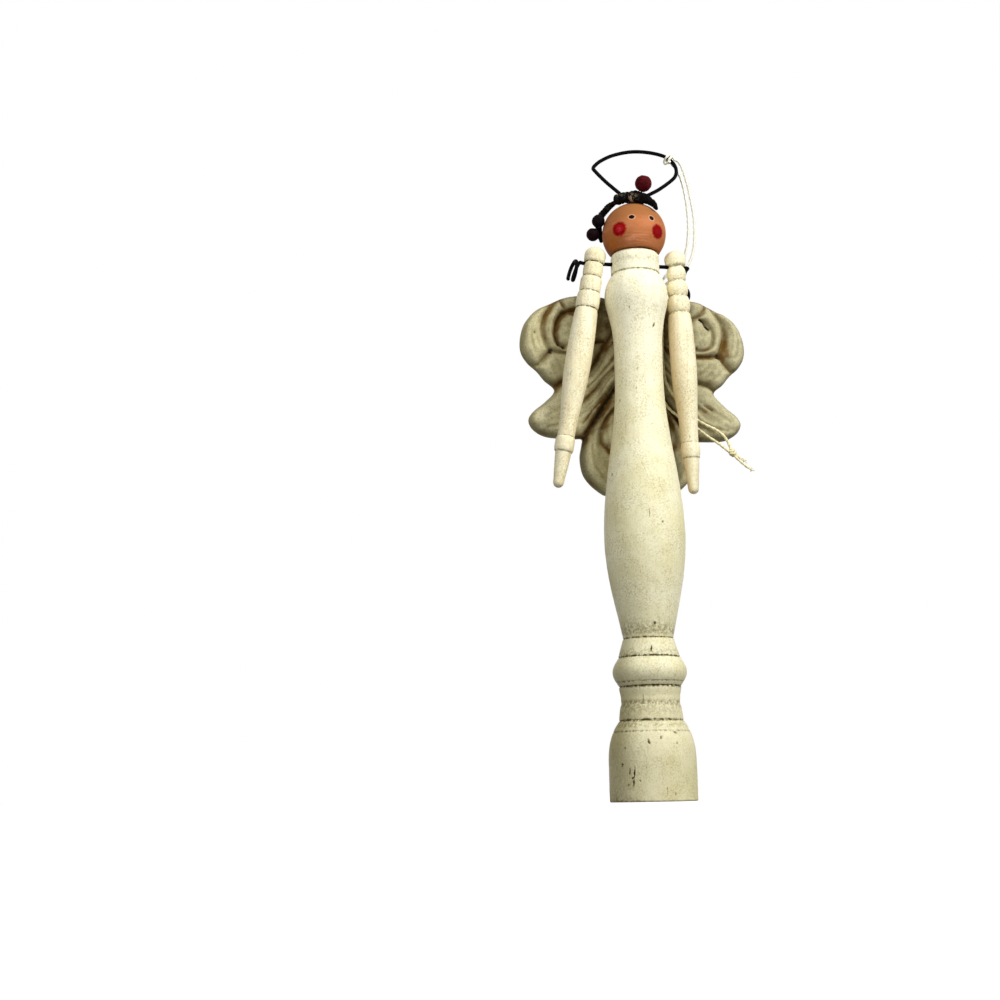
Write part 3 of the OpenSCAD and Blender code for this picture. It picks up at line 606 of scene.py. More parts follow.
# Halo loop: share of the half width, share of the height above the crown
HALO_LOOP = [
    (-0.17, 0.12), (-0.62, 0.44), (-0.87, 0.65), (-0.91, 0.70), (-0.87, 0.75), (-0.72, 0.84),
    (-0.42, 0.94), (0, 1), (0.42, 0.985), (0.80, 0.91), (1.0, 0.80), (1.09, 0.67), (1.08, 0.55),
    (0.98, 0.45), (0.64, 0.27), (0.30, 0.14)]
HALO_LEG_LOW = CROWN_Z - 7.6


def halo_path(steps):
    loop = [(-LEG_X, 0, CROWN_Z)] + [halo_plane(p) for p in HALO_LOOP] + [(LEG_X, 0, CROWN_Z)]
    legs = [np.array([LEG_X, 0, CROWN_Z - 1.5]), np.array([LEG_X, 0, HALO_LEG_LOW])]
    start = [p * np.array([-1, 1, 1]) for p in reversed(legs)]
    return np.array([turned(p) for p in np.vstack([start, smooth_path(loop, steps), legs])])


def make_cords():
    hitch, knot = make_hitch(), make_knot()
    for name, route, node, piece in (("cord_a", STRAND_A, "cord_strand_a", hitch),
                                     ("cord_b", STRAND_B, "cord_strand_b", knot)):
        (points, faces), path = twisted(smooth_path(route, 6), CORD_R)
        obj = add_piece(name, node, points, faces, "cord")


def make_hitch():
    """Girth hitch: the doubled cord goes twice round the halo wire and under its own crossbar."""
    path = halo_path(3)
    index = round(len(path) * HITCH_AT)
    middle, along = path[index], unit(path[index + 1] - path[index - 1])
    outward = unit(np.cross(along, turned((0, -1, 0))))
    front = np.cross(outward, along)
    reach = WIRE_R + 0.1 + CORD_R

    def at(s, angle, r):
        a = math.radians(angle)
        return middle + s * along + r * (math.cos(a) * outward + math.sin(a) * front)
    turns = [STRAND_A[0], at(1.0, 30, reach * 1.02)]
    turns += [at(0.35 - 0.1 * k / 12, 60 + 300 * k / 12, reach) for k in range(13)]
    turns += [at(0.2, 5, reach + 0.75), at(-0.35, -15, reach + 1.0), at(-1.0, -5, reach + 0.7)]
    turns += [at(-1.15 + 0.05 * k / 12, 20 + 300 * k / 12, reach) for k in range(13)]
    turns += [at(-0.4, -70, reach * 1.05), at(0.5, -62, reach * 1.06), STRAND_B[0]]
    (points, faces), _ = twisted(smooth_path(turns, 4), CORD_R * 0.92, 10, 0.3)
    return add_piece("cord_hitch_turns", "cord_hitch", points, faces, "cord")


def make_knot():
    """Overhand knot of both strands, with two cut tails that have come apart."""
    rng = np.random.default_rng(11)
    side = unit(np.cross(KNOT_DIR, [0, 1, 0]))
    front = np.cross(side, KNOT_DIR)
    shells = []
    for phase, entry in ((0.0, STRAND_A[-1]), (math.pi, STRAND_B[-1])):
        pts = [np.asarray(entry, float)]
        for k in range(15):
            t = k / 14
            a = phase + 2 * math.pi * 1.15 * t
            swell = 0.62 + 0.5 * math.sin(math.pi * t)
            pts.append(KNOT_MID + KNOT_DIR * (-1.25 + 2.5 * t + 0.35 * math.sin(3 * a)) +
                       swell * (math.cos(a) * side + math.sin(a) * front))
        pts.append(np.asarray((TAIL_A if phase == 0 else TAIL_B)[0], float))
        shells.append(twisted(smooth_path(pts, 5), CORD_R * 0.95, 10, 0.3)[0])
    for tail, open_from in ((TAIL_A, 0.45), (TAIL_B, 0.72)):
        line = smooth_path(tail, 8)
        count = len(line)
        stop = int(count * open_from)
        shells.append(twisted(line[:stop + 1], CORD_R * 0.9, 10, 0.3)[0])
        reach = np.linalg.norm(line[-1] - line[stop])
        heading = unit(line[-1] - line[stop])
        for k in range(7):
            spread = rng.normal(size=3) * 0.30
            end = line[stop] + heading * reach * rng.uniform(0.75, 1.05) + spread * reach * 0.55
            middle = line[stop] + (end - line[stop]) * 0.5 + rng.normal(size=3) * 0.16
            start = line[stop] - heading * 0.4 + rng.normal(size=3) * 0.12
            shells.append(tube(smooth_path([start, middle, end], 4), 0.15, 6))
    points, faces = join_shells(shells)
    return add_piece("cord_knot_tied", "cord_knot", points, faces, "cord")


make_cords()


# Turned pieces
def swell(t):
    return (1 - np.cos(np.pi * t)) / 2


def blend(a, b, t):
    return a + (b - a) * t


def spindle_line():
    """Finely sampled outline of the spindle between its rounded edges: heights and radii."""
    t = np.linspace(0, 1, 41)
    u = np.linspace(-1, 1, 41)
    drum = FOOT_H * 0.47
    bend = FOOT_TOP + NECK_H * 0.66
    parts = [
        ([EDGE_ROUND], [FOOT_R]),
        (blend(drum, FOOT_TOP, t), blend(FOOT_R, FOOT_TOP_R, t ** 2.6)),
        ([FOOT_TOP + GROOVE / 2], [FOOT_TOP_R - GROOVE]),
        (blend(FOOT_TOP + GROOVE, bend, t), blend(FOOT_TOP_R - GROOVE / 2, NECK_R, swell(t))),
        (blend(bend, NECK_TOP - GROOVE, t[1:]), blend(NECK_R, RING_SEAT_R, swell(t[1:]))),
        ([NECK_TOP - GROOVE / 2], [RING_SEAT_R - GROOVE]),
        ((NECK_TOP + RING_TOP) / 2 + u * RING_H / 2,
         RING_SEAT_R + (RING_R - RING_SEAT_R) * np.cos(np.pi / 2 * u)),
        ([RING_TOP + GROOVE / 2, RING_TOP + GROOVE, THROAT_Z - GROOVE, THROAT_Z - GROOVE / 2],
         [RING_SEAT_R - GROOVE, RING_SEAT_R - GROOVE / 4, THROAT_R + GROOVE / 2, THROAT_R - GROOVE / 2]),
        (blend(THROAT_Z, BELLY_Z, t), blend(THROAT_R, BELLY_R, np.sin(np.pi / 2 * t ** 1.1))),
        (blend(BELLY_Z, WAIST_Z, t[1:]), blend(BELLY_R, WAIST_R, swell(t[1:]))),
        (blend(WAIST_Z, SHOULDER_Z, t[1:]), blend(WAIST_R, SHOULDER_R, swell(t[1:] ** 2.4))),
        (blend(SHOULDER_Z, COLLAR_Z, t[1:]), blend(SHOULDER_R, COLLAR_R - GROOVE, t[1:] ** 2.4)),
        ([COLLAR_Z + GROOVE, COLLAR_TOP - COLLAR_ROUND], [COLLAR_R, COLLAR_R])]
    return np.concatenate([p[0] for p in parts]), np.concatenate([p[1] for p in parts])


def lathe(profile, angles):
    """Rings round Z from [radius, height] pairs that start and end on the axis; angle 0 is the front."""
    around = np.column_stack([np.sin(angles), -np.cos(angles)])
    rings = [np.column_stack([r * around, np.full(len(angles), z)]) for r, z in profile[1:-1]]
    return skin(rings, [(0, 0, profile[0][1]), (0, 0, profile[-1][1])])


def widen(points, change):
    """Moves points away from Z by the change, and less within 1 mm of it."""
    radius = np.maximum(np.hypot(points[:, 0], points[:, 1]), 1)
    points[:, :2] *= (1 + change / radius)[:, None]


def dented(points, nicks):
    """Presses nicks into a turned surface and returns the dirt in them."""
    angle = np.arctan2(points[:, 0], -points[:, 1])
    radius = np.hypot(points[:, 0], points[:, 1])
    depth = np.zeros(len(points))
    stain = np.zeros(len(points))
    for a, z, wide, tall, deep, tilt in nicks:
        turn = np.angle(np.exp(1j * (angle - math.radians(a))))
        x, y = turn * radius, points[:, 2] - z
        c, s = math.cos(math.radians(-tilt)), math.sin(math.radians(-tilt))
        far = ((x * c + y * s) / (NICK_SHARE * wide)) ** 2 + ((y * c - x * s) / tall) ** 2
        near = np.abs(turn) < 0.8
        lip = 0.18 * np.exp(-(np.sqrt(far) - 1.7) ** 2 * 3)
        depth += np.where(near, deep * np.exp(-far) - deep * lip, 0)
        stain += np.where(near, min(1.0, deep * 3.2) * np.exp(-far * 0.8), 0)
    widen(points, -depth)
    return stain


# Share of a nick's half width at which its depth has fallen to about a third
NICK_SHARE = 0.8
# Nicks: angle, height, half width, half length, depth, tilt
BODY_NICKS = (
    (22.7, 183.6, 0.50, 0.85, 0.42, 25), (-31.8, 190.4, 0.40, 0.45, 0.16, 0),
    (-22.0, 191.0, 0.30, 0.55, 0.10, 0), (-20.9, 165.7, 0.32, 1.20, 0.14, 12),
    (-7.5, 162.8, 0.40, 0.50, 0.12, -20), (20.3, 161.5, 0.38, 0.42, 0.22, 0),
    (-24.5, 157.9, 0.32, 0.70, 0.14, 10), (-69.3, 154.2, 0.40, 0.50, 0.20, 0),
    (-75.5, 124.6, 0.48, 0.50, 0.40, 0), (-15.7, 126.8, 0.24, 2.20, 0.15, -25),
    (-2.1, 149.5, 0.30, 0.32, 0.10, 0), (-77.0, 145.5, 0.35, 0.40, 0.15, 0),
    (-9.1, 107.7, 0.22, 1.50, 0.24, 0), (9.4, 104.3, 0.38, 0.60, 0.30, 15),
    (24.0, 84.8, 1.30, 0.80, 0.08, 0), (9.3, 78.0, 0.35, 0.38, 0.16, 0),
    (-2.5, 66.6, 0.40, 0.42, 0.25, 0), (-12.2, 56.6, 0.30, 1.00, 0.42, 10),
    (-21.2, 22.0, 0.48, 0.95, 0.32, -20), (-4.5, 23.5, 0.60, 0.50, 0.30, 0),
    (19.8, 25.3, 0.85, 0.34, 0.42, 0), (18.8, 21.4, 0.60, 0.50, 0.14, 35),
    (-54.9, 19.6, 0.40, 0.50, 0.18, 0), (-59.3, 13.7, 0.48, 0.48, 0.42, 0),
    (-48.1, 11.1, 0.42, 0.90, 0.34, 15), (-41.5, 10.5, 0.34, 1.70, 0.48, 6),
    (-44.3, 8.7, 0.62, 0.28, 0.34, 0), (-42.7, 6.9, 0.34, 1.40, 0.48, 8),
    (-25.1, 12.7, 0.20, 2.60, 0.16, 0), (0.4, 3.9, 0.22, 1.50, 0.22, 0),
    (12.2, 2.7, 0.50, 0.80, 0.12, 0), (-34.2, 7.7, 0.38, 0.40, 0.18, 0),
    (-49.9, 6.3, 0.50, 0.35, 0.16, 30), (-31.0, 38.6, 0.30, 1.00, 0.14, 0),
    (118.0, 88.0, 0.5, 0.9, 0.3, 20), (160.0, 20.0, 0.4, 1.8, 0.35, 5),
    (-140.0, 60.0, 0.5, 0.5, 0.25, 0), (95.0, 14.0, 0.4, 0.9, 0.3, 0),
    (-122.0, 96.0, 0.3, 1.4, 0.2, 10), (140.0, 106.0, 0.4, 0.4, 0.25, 0))
# Heights of the neck's turned band and the foot's scored line
BAND_Z, SCORE_Z = 36.8, 26.0
# Grime of the spindle: height, spread above, spread below, strength
BODY_GRIME = (
    (COLLAR_Z + 0.2, 0.45, 0.4, 0.34), (COLLAR_Z + 4.6, 1.8, 1.5, 0.20),
    (THROAT_Z - 0.25, 0.45, 0.3, 0.62), (THROAT_Z + 1.8, 5.0, 1.4, 0.30),
    (RING_TOP + 0.25, 0.5, 0.35, 0.58), (RING_TOP + 1.6, 2.2, 1.2, 0.24),
    (NECK_TOP - 0.25, 0.3, 0.55, 1.05), (NECK_TOP + 1.4, 0.45, 0.4, 0.36), (BAND_Z, 1.3, 1.6, 0.33),
    (33.6, 2.0, 2.4, 0.20), (FOOT_TOP + 0.25, 0.6, 0.5, 0.62), (FOOT_TOP - 1.6, 1.2, 1.6, 0.24),
    (SCORE_Z, 0.45, 0.4, 0.30), (0.0, 0.5, 0.5, 0.15))
# Turned lines: height, half width, depth
EXTRA_GROOVES = (
    (BAND_Z, 0.9, 0.24), (SCORE_Z, 0.28, 0.12), (NECK_TOP + 1.4, 0.25, 0.10), (COLLAR_Z + 4.6, 0.6, 0.06))


def grime_at(z, bands):
    total = np.zeros(len(z))
    for height, above, below, strength in bands:
        far = z - height
        total += strength * bell(far, np.where(far > 0, above, below))
    return total


def make_body():
    line_z, line_r = spindle_line()
    rim = COLLAR_TOP - COLLAR_ROUND
    marks = [FOOT_TOP, BAND_Z, NECK_TOP + 0.6, RING_TOP, THROAT_Z, COLLAR_Z, SCORE_Z]
    z = np.concatenate([np.arange(EDGE_ROUND, FOOT_H, 0.22), np.arange(FOOT_H, rim, 0.45), [rim]] +
                       [np.arange(m - 1.3, m + 1.4, 0.13) for m in marks])
    seat_low, seat_high = WING_BOTTOM - 0.5, WING_TOP + 0.5
    z = np.unique(np.round(np.concatenate([z, [seat_low, seat_low + 0.02, seat_high, seat_high + 0.02]]), 3))
    r = np.interp(z, line_z, line_r)
    for height, wide, deep in EXTRA_GROOVES:
        r = r - deep * bell(z - height, wide)
    turn = np.radians([90, 60, 30])
    foot = [(0, 0), (5, 0), (10, 0), (14, 0)]
    foot += [(FOOT_R - EDGE_ROUND * (1 - math.cos(a)), EDGE_ROUND * (1 - math.sin(a))) for a in turn]
    crown = [(COLLAR_R - COLLAR_ROUND * (1 - math.cos(a)), rim + COLLAR_ROUND * math.sin(a))
             for a in np.radians(np.linspace(0, 90, 10)[1:])]
    crown += [(5, COLLAR_TOP), (0, COLLAR_TOP)]
    profile = foot + list(zip(r, z)) + crown
    front = np.radians(np.linspace(-90, 70, 281))
    back = np.radians(np.linspace(70, 270, 86)[1:-1])
    points, faces = lathe(profile, np.concatenate([front, back]))
    uneven = 0.05 * waves(points, 22, 3) + 0.025 * waves(points, 5, 4)
    widen(points, np.where(points[:, 2] < rim, uneven, 0))
    stain = dented(points, BODY_NICKS)
    # Painted shade on the lower left and along the left of the bottom edge, added to the grime of the
    # grooves and nicks
    shade_low_left = 0.35 * bell(points[:, 0] + 13, 9) * bell(points[:, 2], 1.6)
    shade_low_left += 0.45 * np.clip((75 - points[:, 2]) / 75, 0, 1) * np.clip(-(points[:, 0] + 6) / 10, 0, 1)
    grime_and_shade = grime_at(points[:, 2], BODY_GRIME) + stain + 0.5 * shade_low_left
    seat = (points[:, 2] > seat_low + 0.01) & (points[:, 2] < seat_high + 0.01)
    points[:, 1] = np.where(seat, np.minimum(points[:, 1], SEAT_Y), points[:, 1])
    obj = add_piece("spindle_body", "body", points, faces, "body", values={"grime_and_shade": grime_and_shade})
    holes = [rod((0, 0, COLLAR_TOP - DOWEL_DOWN), (0, 0, COLLAR_TOP + 1), DOWEL_R + GLUE),
             rod((-20, 0, WIRE_Z), (20, 0, WIRE_Z), WIRE_R + WIRE_FIT)]
    screw_end = SEAT_Y - SCREW_GRIP - GLUE
    holes += [rod((0, screw_end, h), (0, SEAT_Y + 2, h), SCREW_R + GLUE) for h in SCREW_HEIGHTS]
    for hole in holes:
        cut(obj, hole)


make_body()


def make_head():
    start = math.asin(HEAD_FLAT_R / HEAD_R)
    sweep = np.linspace(math.pi - start, 0, 90)
    profile = [(0, COLLAR_TOP), (4, COLLAR_TOP), (7, COLLAR_TOP), (9.7, COLLAR_TOP + 0.02)]
    profile += [(HEAD_R * math.sin(a), HEAD_Z + HEAD_R * math.cos(a)) for a in sweep]
    profile[-1] = (0, CROWN_Z)
    points, faces = lathe(profile, full_turn(144, -math.pi))
    uneven = 0.04 * waves(points, 9, 5) + 0.012 * waves(points, 2.5, 6)
    lift = np.where(points[:, 2] > COLLAR_TOP + 0.1, uneven, 0)
    away = points - HEAD_MID
    points += away / np.linalg.norm(away, axis=1)[:, None] * lift[:, None]
    obj = add_piece("ball_head", "head", points, faces, "head")
    cut(obj, rod((0, 0, COLLAR_TOP - 1), (0, 0, COLLAR_TOP + DOWEL_UP + GLUE), DOWEL_R + GLUE))
    cut(obj, rod((0, 0, CROWN_Z - CROWN_HOLE_H), (0, 0, CROWN_Z + 1), CROWN_HOLE_R))


make_head()


# Arms: bead sharpness, groove depth and nicks differ a little from side to side
# Depth of the lines at the ends of the shaft and round the cuff
ARM_LINE = 0.4
DOME_STEPS, TIP_STEPS = 14, 7


def arm_line(power, groove):
    """Outline of an arm going down from the knob: heights and radii."""
    dome = np.radians(np.linspace(8, 90, DOME_STEPS))
    line = [(KNOB_H - KNOB_DOME * (1 - math.cos(a)), KNOB_R * math.sin(a)) for a in dome]
    line += [(0.9, KNOB_R - groove * 0.3), (0, KNOB_R - groove * 1.5)]

    def barrel(top, h, big, low_groove):
        return [(top - h * (u + 1) / 2 * 0.995 - 0.01, big - low_groove * abs(u) ** power)
                for u in np.linspace(-1, 1, 15)]
    for b in range(3):
        line += barrel(BEAD_TOPS[b], BEAD_TOPS[b] - BEAD_TOPS[b + 1], BEAD_R + b * BEAD_STEP, groove)
    shaft = -BEADS_H
    cuff = shaft - SHAFT_H
    hand = cuff - CUFF_H
    tip = hand - HAND_H
    widest = shaft - SHAFT_H * SWELL_AT - ARM_LINE
    line += [(shaft - ARM_LINE - SHAFT_H * SWELL_AT * t,
              blend(SHAFT_TOP_R - ARM_LINE, SHAFT_R, math.sin(math.pi / 2 * t ** 0.6)))
             for t in np.linspace(0, 1, 16)]
    line += [(blend(widest, cuff, t), blend(SHAFT_R, SHAFT_LOW_R - ARM_LINE, swell(t)))
             for t in np.linspace(0, 1, 20)[1:]]
    line += barrel(cuff - ARM_LINE / 2, CUFF_H - ARM_LINE / 2, CUFF_R, ARM_LINE)
    line += [(blend(hand - ARM_LINE, tip + TIP_R, t), blend(HAND_R, TIP_R, t))
             for t in np.linspace(0, 1, 10)]
    end = np.radians(np.linspace(12, 84, TIP_STEPS))
    line += [(tip + TIP_R * (1 - math.sin(a)), TIP_R * math.cos(a)) for a in end]
    return np.array(line).T


def make_arm(name, node, body, x, lean, power, groove, line_grime, nicks, seed):
    line_z, line_r = arm_line(power, groove)
    cuff = -BEADS_H - SHAFT_H
    lines = list(BEAD_TOPS) + [cuff, cuff - CUFF_H]
    ends = [line_z[:DOME_STEPS], line_z[-TIP_STEPS:]]
    z = np.concatenate([np.arange(line_z[-1], line_z[0], 0.4)] +
                       [np.arange(m - 0.7, m + 0.7, 0.1) for m in lines] + ends)
    z = np.unique(np.round(z[(z >= line_z[-1]) & (z <= line_z[0])], 3))
    order = np.argsort(line_z)
    r = np.interp(z, line_z[order], line_r[order])
    profile = [(0, z[0] - 0.02)] + list(zip(r, z)) + [(0, z[-1] + 0.02)]
    points, faces = lathe(profile, full_turn(96, -math.pi))
    radius = np.maximum(np.hypot(points[:, 0], points[:, 1]), 1)
    widen(points, 0.04 * waves(points, 14, seed) + 0.02 * waves(points, 3.5, seed + 1))
    stain = dented(points, nicks)
    sharp, soft, strength = line_grime
    bands = [(m, sharp, sharp, strength) for m in lines[:4]] + [(m, soft, soft, 0.12) for m in lines[:4]]
    bands += [(m, 0.35, 0.35, 0.34) for m in lines[4:]]
    grime_and_shade = grime_at(points[:, 2], bands) + stain
    turn = Matrix.Translation((x, 0, WIRE_Z)) @ Matrix.Rotation(math.radians(lean), 4, "Y")
    move = np.array(turn)
    # Painted shade with a warm reflected tint on the inner side of the arm's lower part, facing the body
    inner = np.clip(-np.sign(x) * points[:, 0] / radius, 0, 1)
    side = inner ** 2 if x > 0 else 0.4 * inner ** 3
    side = side * np.clip((-4 - points[:, 2]) / 20, 0, 1)
    points = points @ move[:3, :3].T + move[:3, 3]
    obj = add_piece(name, node, points, faces, "arm", body, {"grime_and_shade": grime_and_shade, "inner_side_shade": side})
    cut(obj, rod((x - 9, 0, WIRE_Z), (x + 9, 0, WIRE_Z), WIRE_R + WIRE_FIT))


make_arm("arm_left", "left_arm", "left_arm_body", -LEFT_X, LEFT_LEAN, 4.5, 0.48, (0.24, 0.8, 0.80),
         ((-20, -35, 0.2, 1.6, 0.10, 0), (-45, -60, 0.3, 0.5, 0.14, 0), (-38, -48, 0.18, 2.2, 0.10, 3),
          (-48, -66, 0.18, 1.6, 0.10, 0), (-30, -55, 0.16, 1.2, 0.09, 2), (150, -40, 0.3, 1.0, 0.2, 0)), 21)
make_arm("arm_right", "right_arm", "right_arm_body", RIGHT_X, -RIGHT_LEAN, 2.0, 0.85, (0.6, 1.4, 0.22),
         ((-37, -30, 0.2, 1.8, 0.10, 0), (3, -52, 0.3, 0.4, 0.14, 0), (-17, -70, 0.3, 0.5, 0.12, 0),
          (170, -55, 0.3, 1.2, 0.2, 0)), 31)


# Wires: lean and turn of the left coil
LEFT_COIL_LEAN, LEFT_COIL_TURN = -14, 25
# Right coil: outward from the arm's axis, back from the wire, and height of its middle from the wire
RIGHT_COIL_OUT, RIGHT_COIL_BACK, RIGHT_COIL_MID = 4.1, 6.95, -8.4


def make_arm_wire():
    steps = 40
    turns = [360 * i / steps for i in range(1, int(COIL_TURNS * steps) + 1)]
    quarter = np.radians(np.arange(0, 91, 15))
    bend = [np.array([COIL_BEND * math.sin(a), COIL_BEND * (1 - math.cos(a)), 0]) for a in quarter]
    coil = bend + [bend[-1] + [COIL_PITCH * a / 360, COIL_R * math.sin(math.radians(a)),
                               COIL_R * (math.cos(math.radians(a)) - 1)] for a in turns]
    place = (Matrix.Translation((-WIRE_LEFT_END, 0, WIRE_Z)) @ Matrix.Scale(-1, 4, (1, 0, 0)) @
             Matrix.Rotation(math.radians(LEFT_COIL_LEAN), 4, "Y") @
             Matrix.Rotation(math.radians(LEFT_COIL_TURN), 4, "X"))
    left = [np.array(place @ Vector(p)) for p in coil]
    top = np.array([RIGHT_X + RIGHT_COIL_OUT, RIGHT_COIL_BACK, COIL_R + RIGHT_COIL_MID])

    def right_turn(a):
        s = math.radians(a)
        return top + [-COIL_R * math.sin(s), COIL_PITCH * a / 360, COIL_R * (math.cos(s) - 1)]
    x = WIRE_RIGHT_END + COIL_BEND
    shares = ((0.3, 0), (0.55, 0.06), (0.8, 0.3), (0.93, 0.68))
    lead = [[x, top[1] * back, top[2] * down] for back, down in shares]
    right = [p + [WIRE_RIGHT_END, 0, 0] for p in bend] + list(smooth_path(lead + [right_turn(-12), top], 5))
    right += [right_turn(a) for a in turns]
    path = np.array(left[::-1] + [p + np.array([0, 0, WIRE_Z]) for p in right])
    points, faces = tube(even_path(path, 0.3), WIRE_R, 14)
    points = points + 0.02 * np.column_stack([waves(points, 3, s) for s in (41, 42, 43)])
    add_piece("arm_wire_coiled", "arm_wire", points, faces, "wire")


make_arm_wire()


def make_halo():
    points, faces = tube(even_path(halo_path(8), 0.4), WIRE_R, 14)
    add_piece("halo_wire", "halo", points, faces, "wire")


make_halo()


# Garland: compass angle from the front, height angle, lift
STEM_R, SPRIG_R, STALK_R, STALK_SINK = 2.0, 1.2, 0.45, 1.2
STEM_LIFT, SPRIG_LIFT = STEM_R + 0.25, SPRIG_R + 0.3
STEM_ROUTE = [
    (48, 34, -0.85), (44, 44, -0.2), (35, 53, 0), (18, 61, 0), (-8, 66, 0.05), (-35, 65, 0.2),
    (-56, 59.5, 0.6)]
SPRIG_ROUTE = [
    (-47, 62, 1.1), (-76, 49.5, 0.8), (-89, 36.5, 1), (-94, 26.5, 1), (-101, 15, 0.35), (-109, 6, -0.1),
    (-114, -2, -0.3)]


def on_head(p, lift):
    a, e = math.radians(p[0]), math.radians(p[1])
    r = HEAD_R + lift + p[2]
    away = np.array([math.cos(e) * math.sin(a), -math.cos(e) * math.cos(a), math.sin(e)])
    return HEAD_MID + turned(r * away)


def wrapped(route, lift, r, first, end, taper, seed, pitch):
    """Stem wound with paper strip: ridges run round it and lumps break them up."""
    line = even_path(smooth_path([on_head(p, lift) for p in route], 8), 0.25)
    rng = np.random.default_rng(seed)
    lumps = np.interp(np.arange(len(line)), np.linspace(0, len(line), 14), rng.uniform(-0.12, 0.14, 14))
    t = np.linspace(0, 1, len(line))
    radii = r * blend(blend(first, end, t), 1, np.sqrt(np.sin(math.pi * blend(0.03, 0.97, t))))
    radii = radii * blend(taper, 1.18, np.clip(t / 0.5, 0, 1))

    def shape(i, angle):
        ridge = 0.12 * np.abs(np.sin(math.pi * i * 0.25 / pitch - angle / 2)) - 0.06
        return 1 + ridge + lumps[i] + 0.05 * np.sin(3 * angle + i * 0.35)
    return tube(line, radii, 20, shape)


def make_garland():
    points, faces = wrapped(STEM_ROUTE, STEM_LIFT, STEM_R, 0.35, 0.9, 0.55, 7, 1.5)
    near = {}
    for key, place, reach in (("lichen", (-42, 68, 1.2), 2.4), ("bare", (-10, 52, 0), 1.9)):
        middle = on_head(place, STEM_LIFT)
        near[key] = bell(np.linalg.norm(points - middle, axis=1), reach)
    add_piece("garland_main", "garland_stem", points, faces, "bark", values=near)
    points, faces = wrapped(SPRIG_ROUTE, SPRIG_LIFT, SPRIG_R, 0.4, 0.4, 0.95, 8, 1.1)
    plain = {"lichen": np.full(len(points), 0.1), "bare": np.zeros(len(points))}
    add_piece("garland_side", "garland_sprig", points, faces, "bark", values=plain)


make_garland()


def make_berry(name, at, foot, r, shade, seed):
    at, foot = np.asarray(at, float), np.asarray(foot, float)
    profile = [(r * math.sin(a), -r * math.cos(a)) for a in np.linspace(0, math.pi, 34)]
    points, faces = lathe(profile, full_turn(48, -math.pi))
    away = unit(at - foot)
    dip = points[:, 2] / r
    points *= (1 + (0.05 * waves(points, 2.4, seed) + 0.025 * waves(points, 0.9, seed + 1)) / r)[:, None]
    points[:, 2] -= 0.28 * bell(1 - dip, 0.03)
    turn = np.array(Vector((0, 0, 1)).rotation_difference(Vector(away)).to_matrix())
    shades = {"shade": np.full(len(points), shade)}
    obj = add_piece("berry_" + name, "berry_" + name, points @ turn.T + at, faces, "berry", values=shades)
    cut(obj, rod(at - away * (r - STALK_SINK - GLUE), at - away * (r + 1), STALK_R + GLUE, 20))
    line = even_path([foot, at - away * (r - STALK_SINK)], 0.2)
    bow = np.sin(np.linspace(0, math.pi, len(line)))
    stalk, sides = tube(line, STALK_R * (1 - 0.12 * bow), 12)
    plain = np.zeros(len(stalk))
    bark = {"lichen": plain, "bare": plain}
    add_piece("stalk_" + name, "stalk_" + name, stalk, sides, "bark", values=bark)


BERRY_R, SIDE_BERRY_R = 3.3, 2.6
make_berry("top", on_head((24, 63.5, 0), STEM_LIFT + STEM_R + BERRY_R + 0.3),
           on_head((20, 60.5, 0), STEM_LIFT), BERRY_R, 0.0, 51)
make_berry("side_upper", on_head((-74.6, 17.7, 0), SIDE_BERRY_R + 0.3),
           on_head((-97, 21, 0), SPRIG_LIFT + 0.7), SIDE_BERRY_R, 0.9, 53)
make_berry("side_lower", on_head((-83, -0.8, 0), SIDE_BERRY_R + 1.4),
           on_head((-106, 9.5, 0), SPRIG_LIFT + 0.1), SIDE_BERRY_R, 0.8, 55)


# Wings: outline outward from their middle, height above the lower edge
WING_EDGE = [
    (0, 80.5), (10, 81), (17.3, 82.2), (23.5, 81.8), (29, 80.6), (34.5, 78), (39.5, 75.6), (42.8, 72.6),
    (45.2, 68.8), (46.6, 63), (46.3, 58), (43.8, 53.8), (40, 50.4), (37, 46.8), (33, 42.8),
    (37.4, 37.6), (42, 33.8), (43.8, 30.4), (42, 26.6), (36.5, 23.8), (26, 23.3), (22.4, 23.2),
    (22.5, 20.6), (23.3, 16.4), (23.1, 12.3), (22, 8.3), (19.3, 4.7), (15.4, 1.6), (12.5, 0.4), (6, 0),
    (0, 0)]
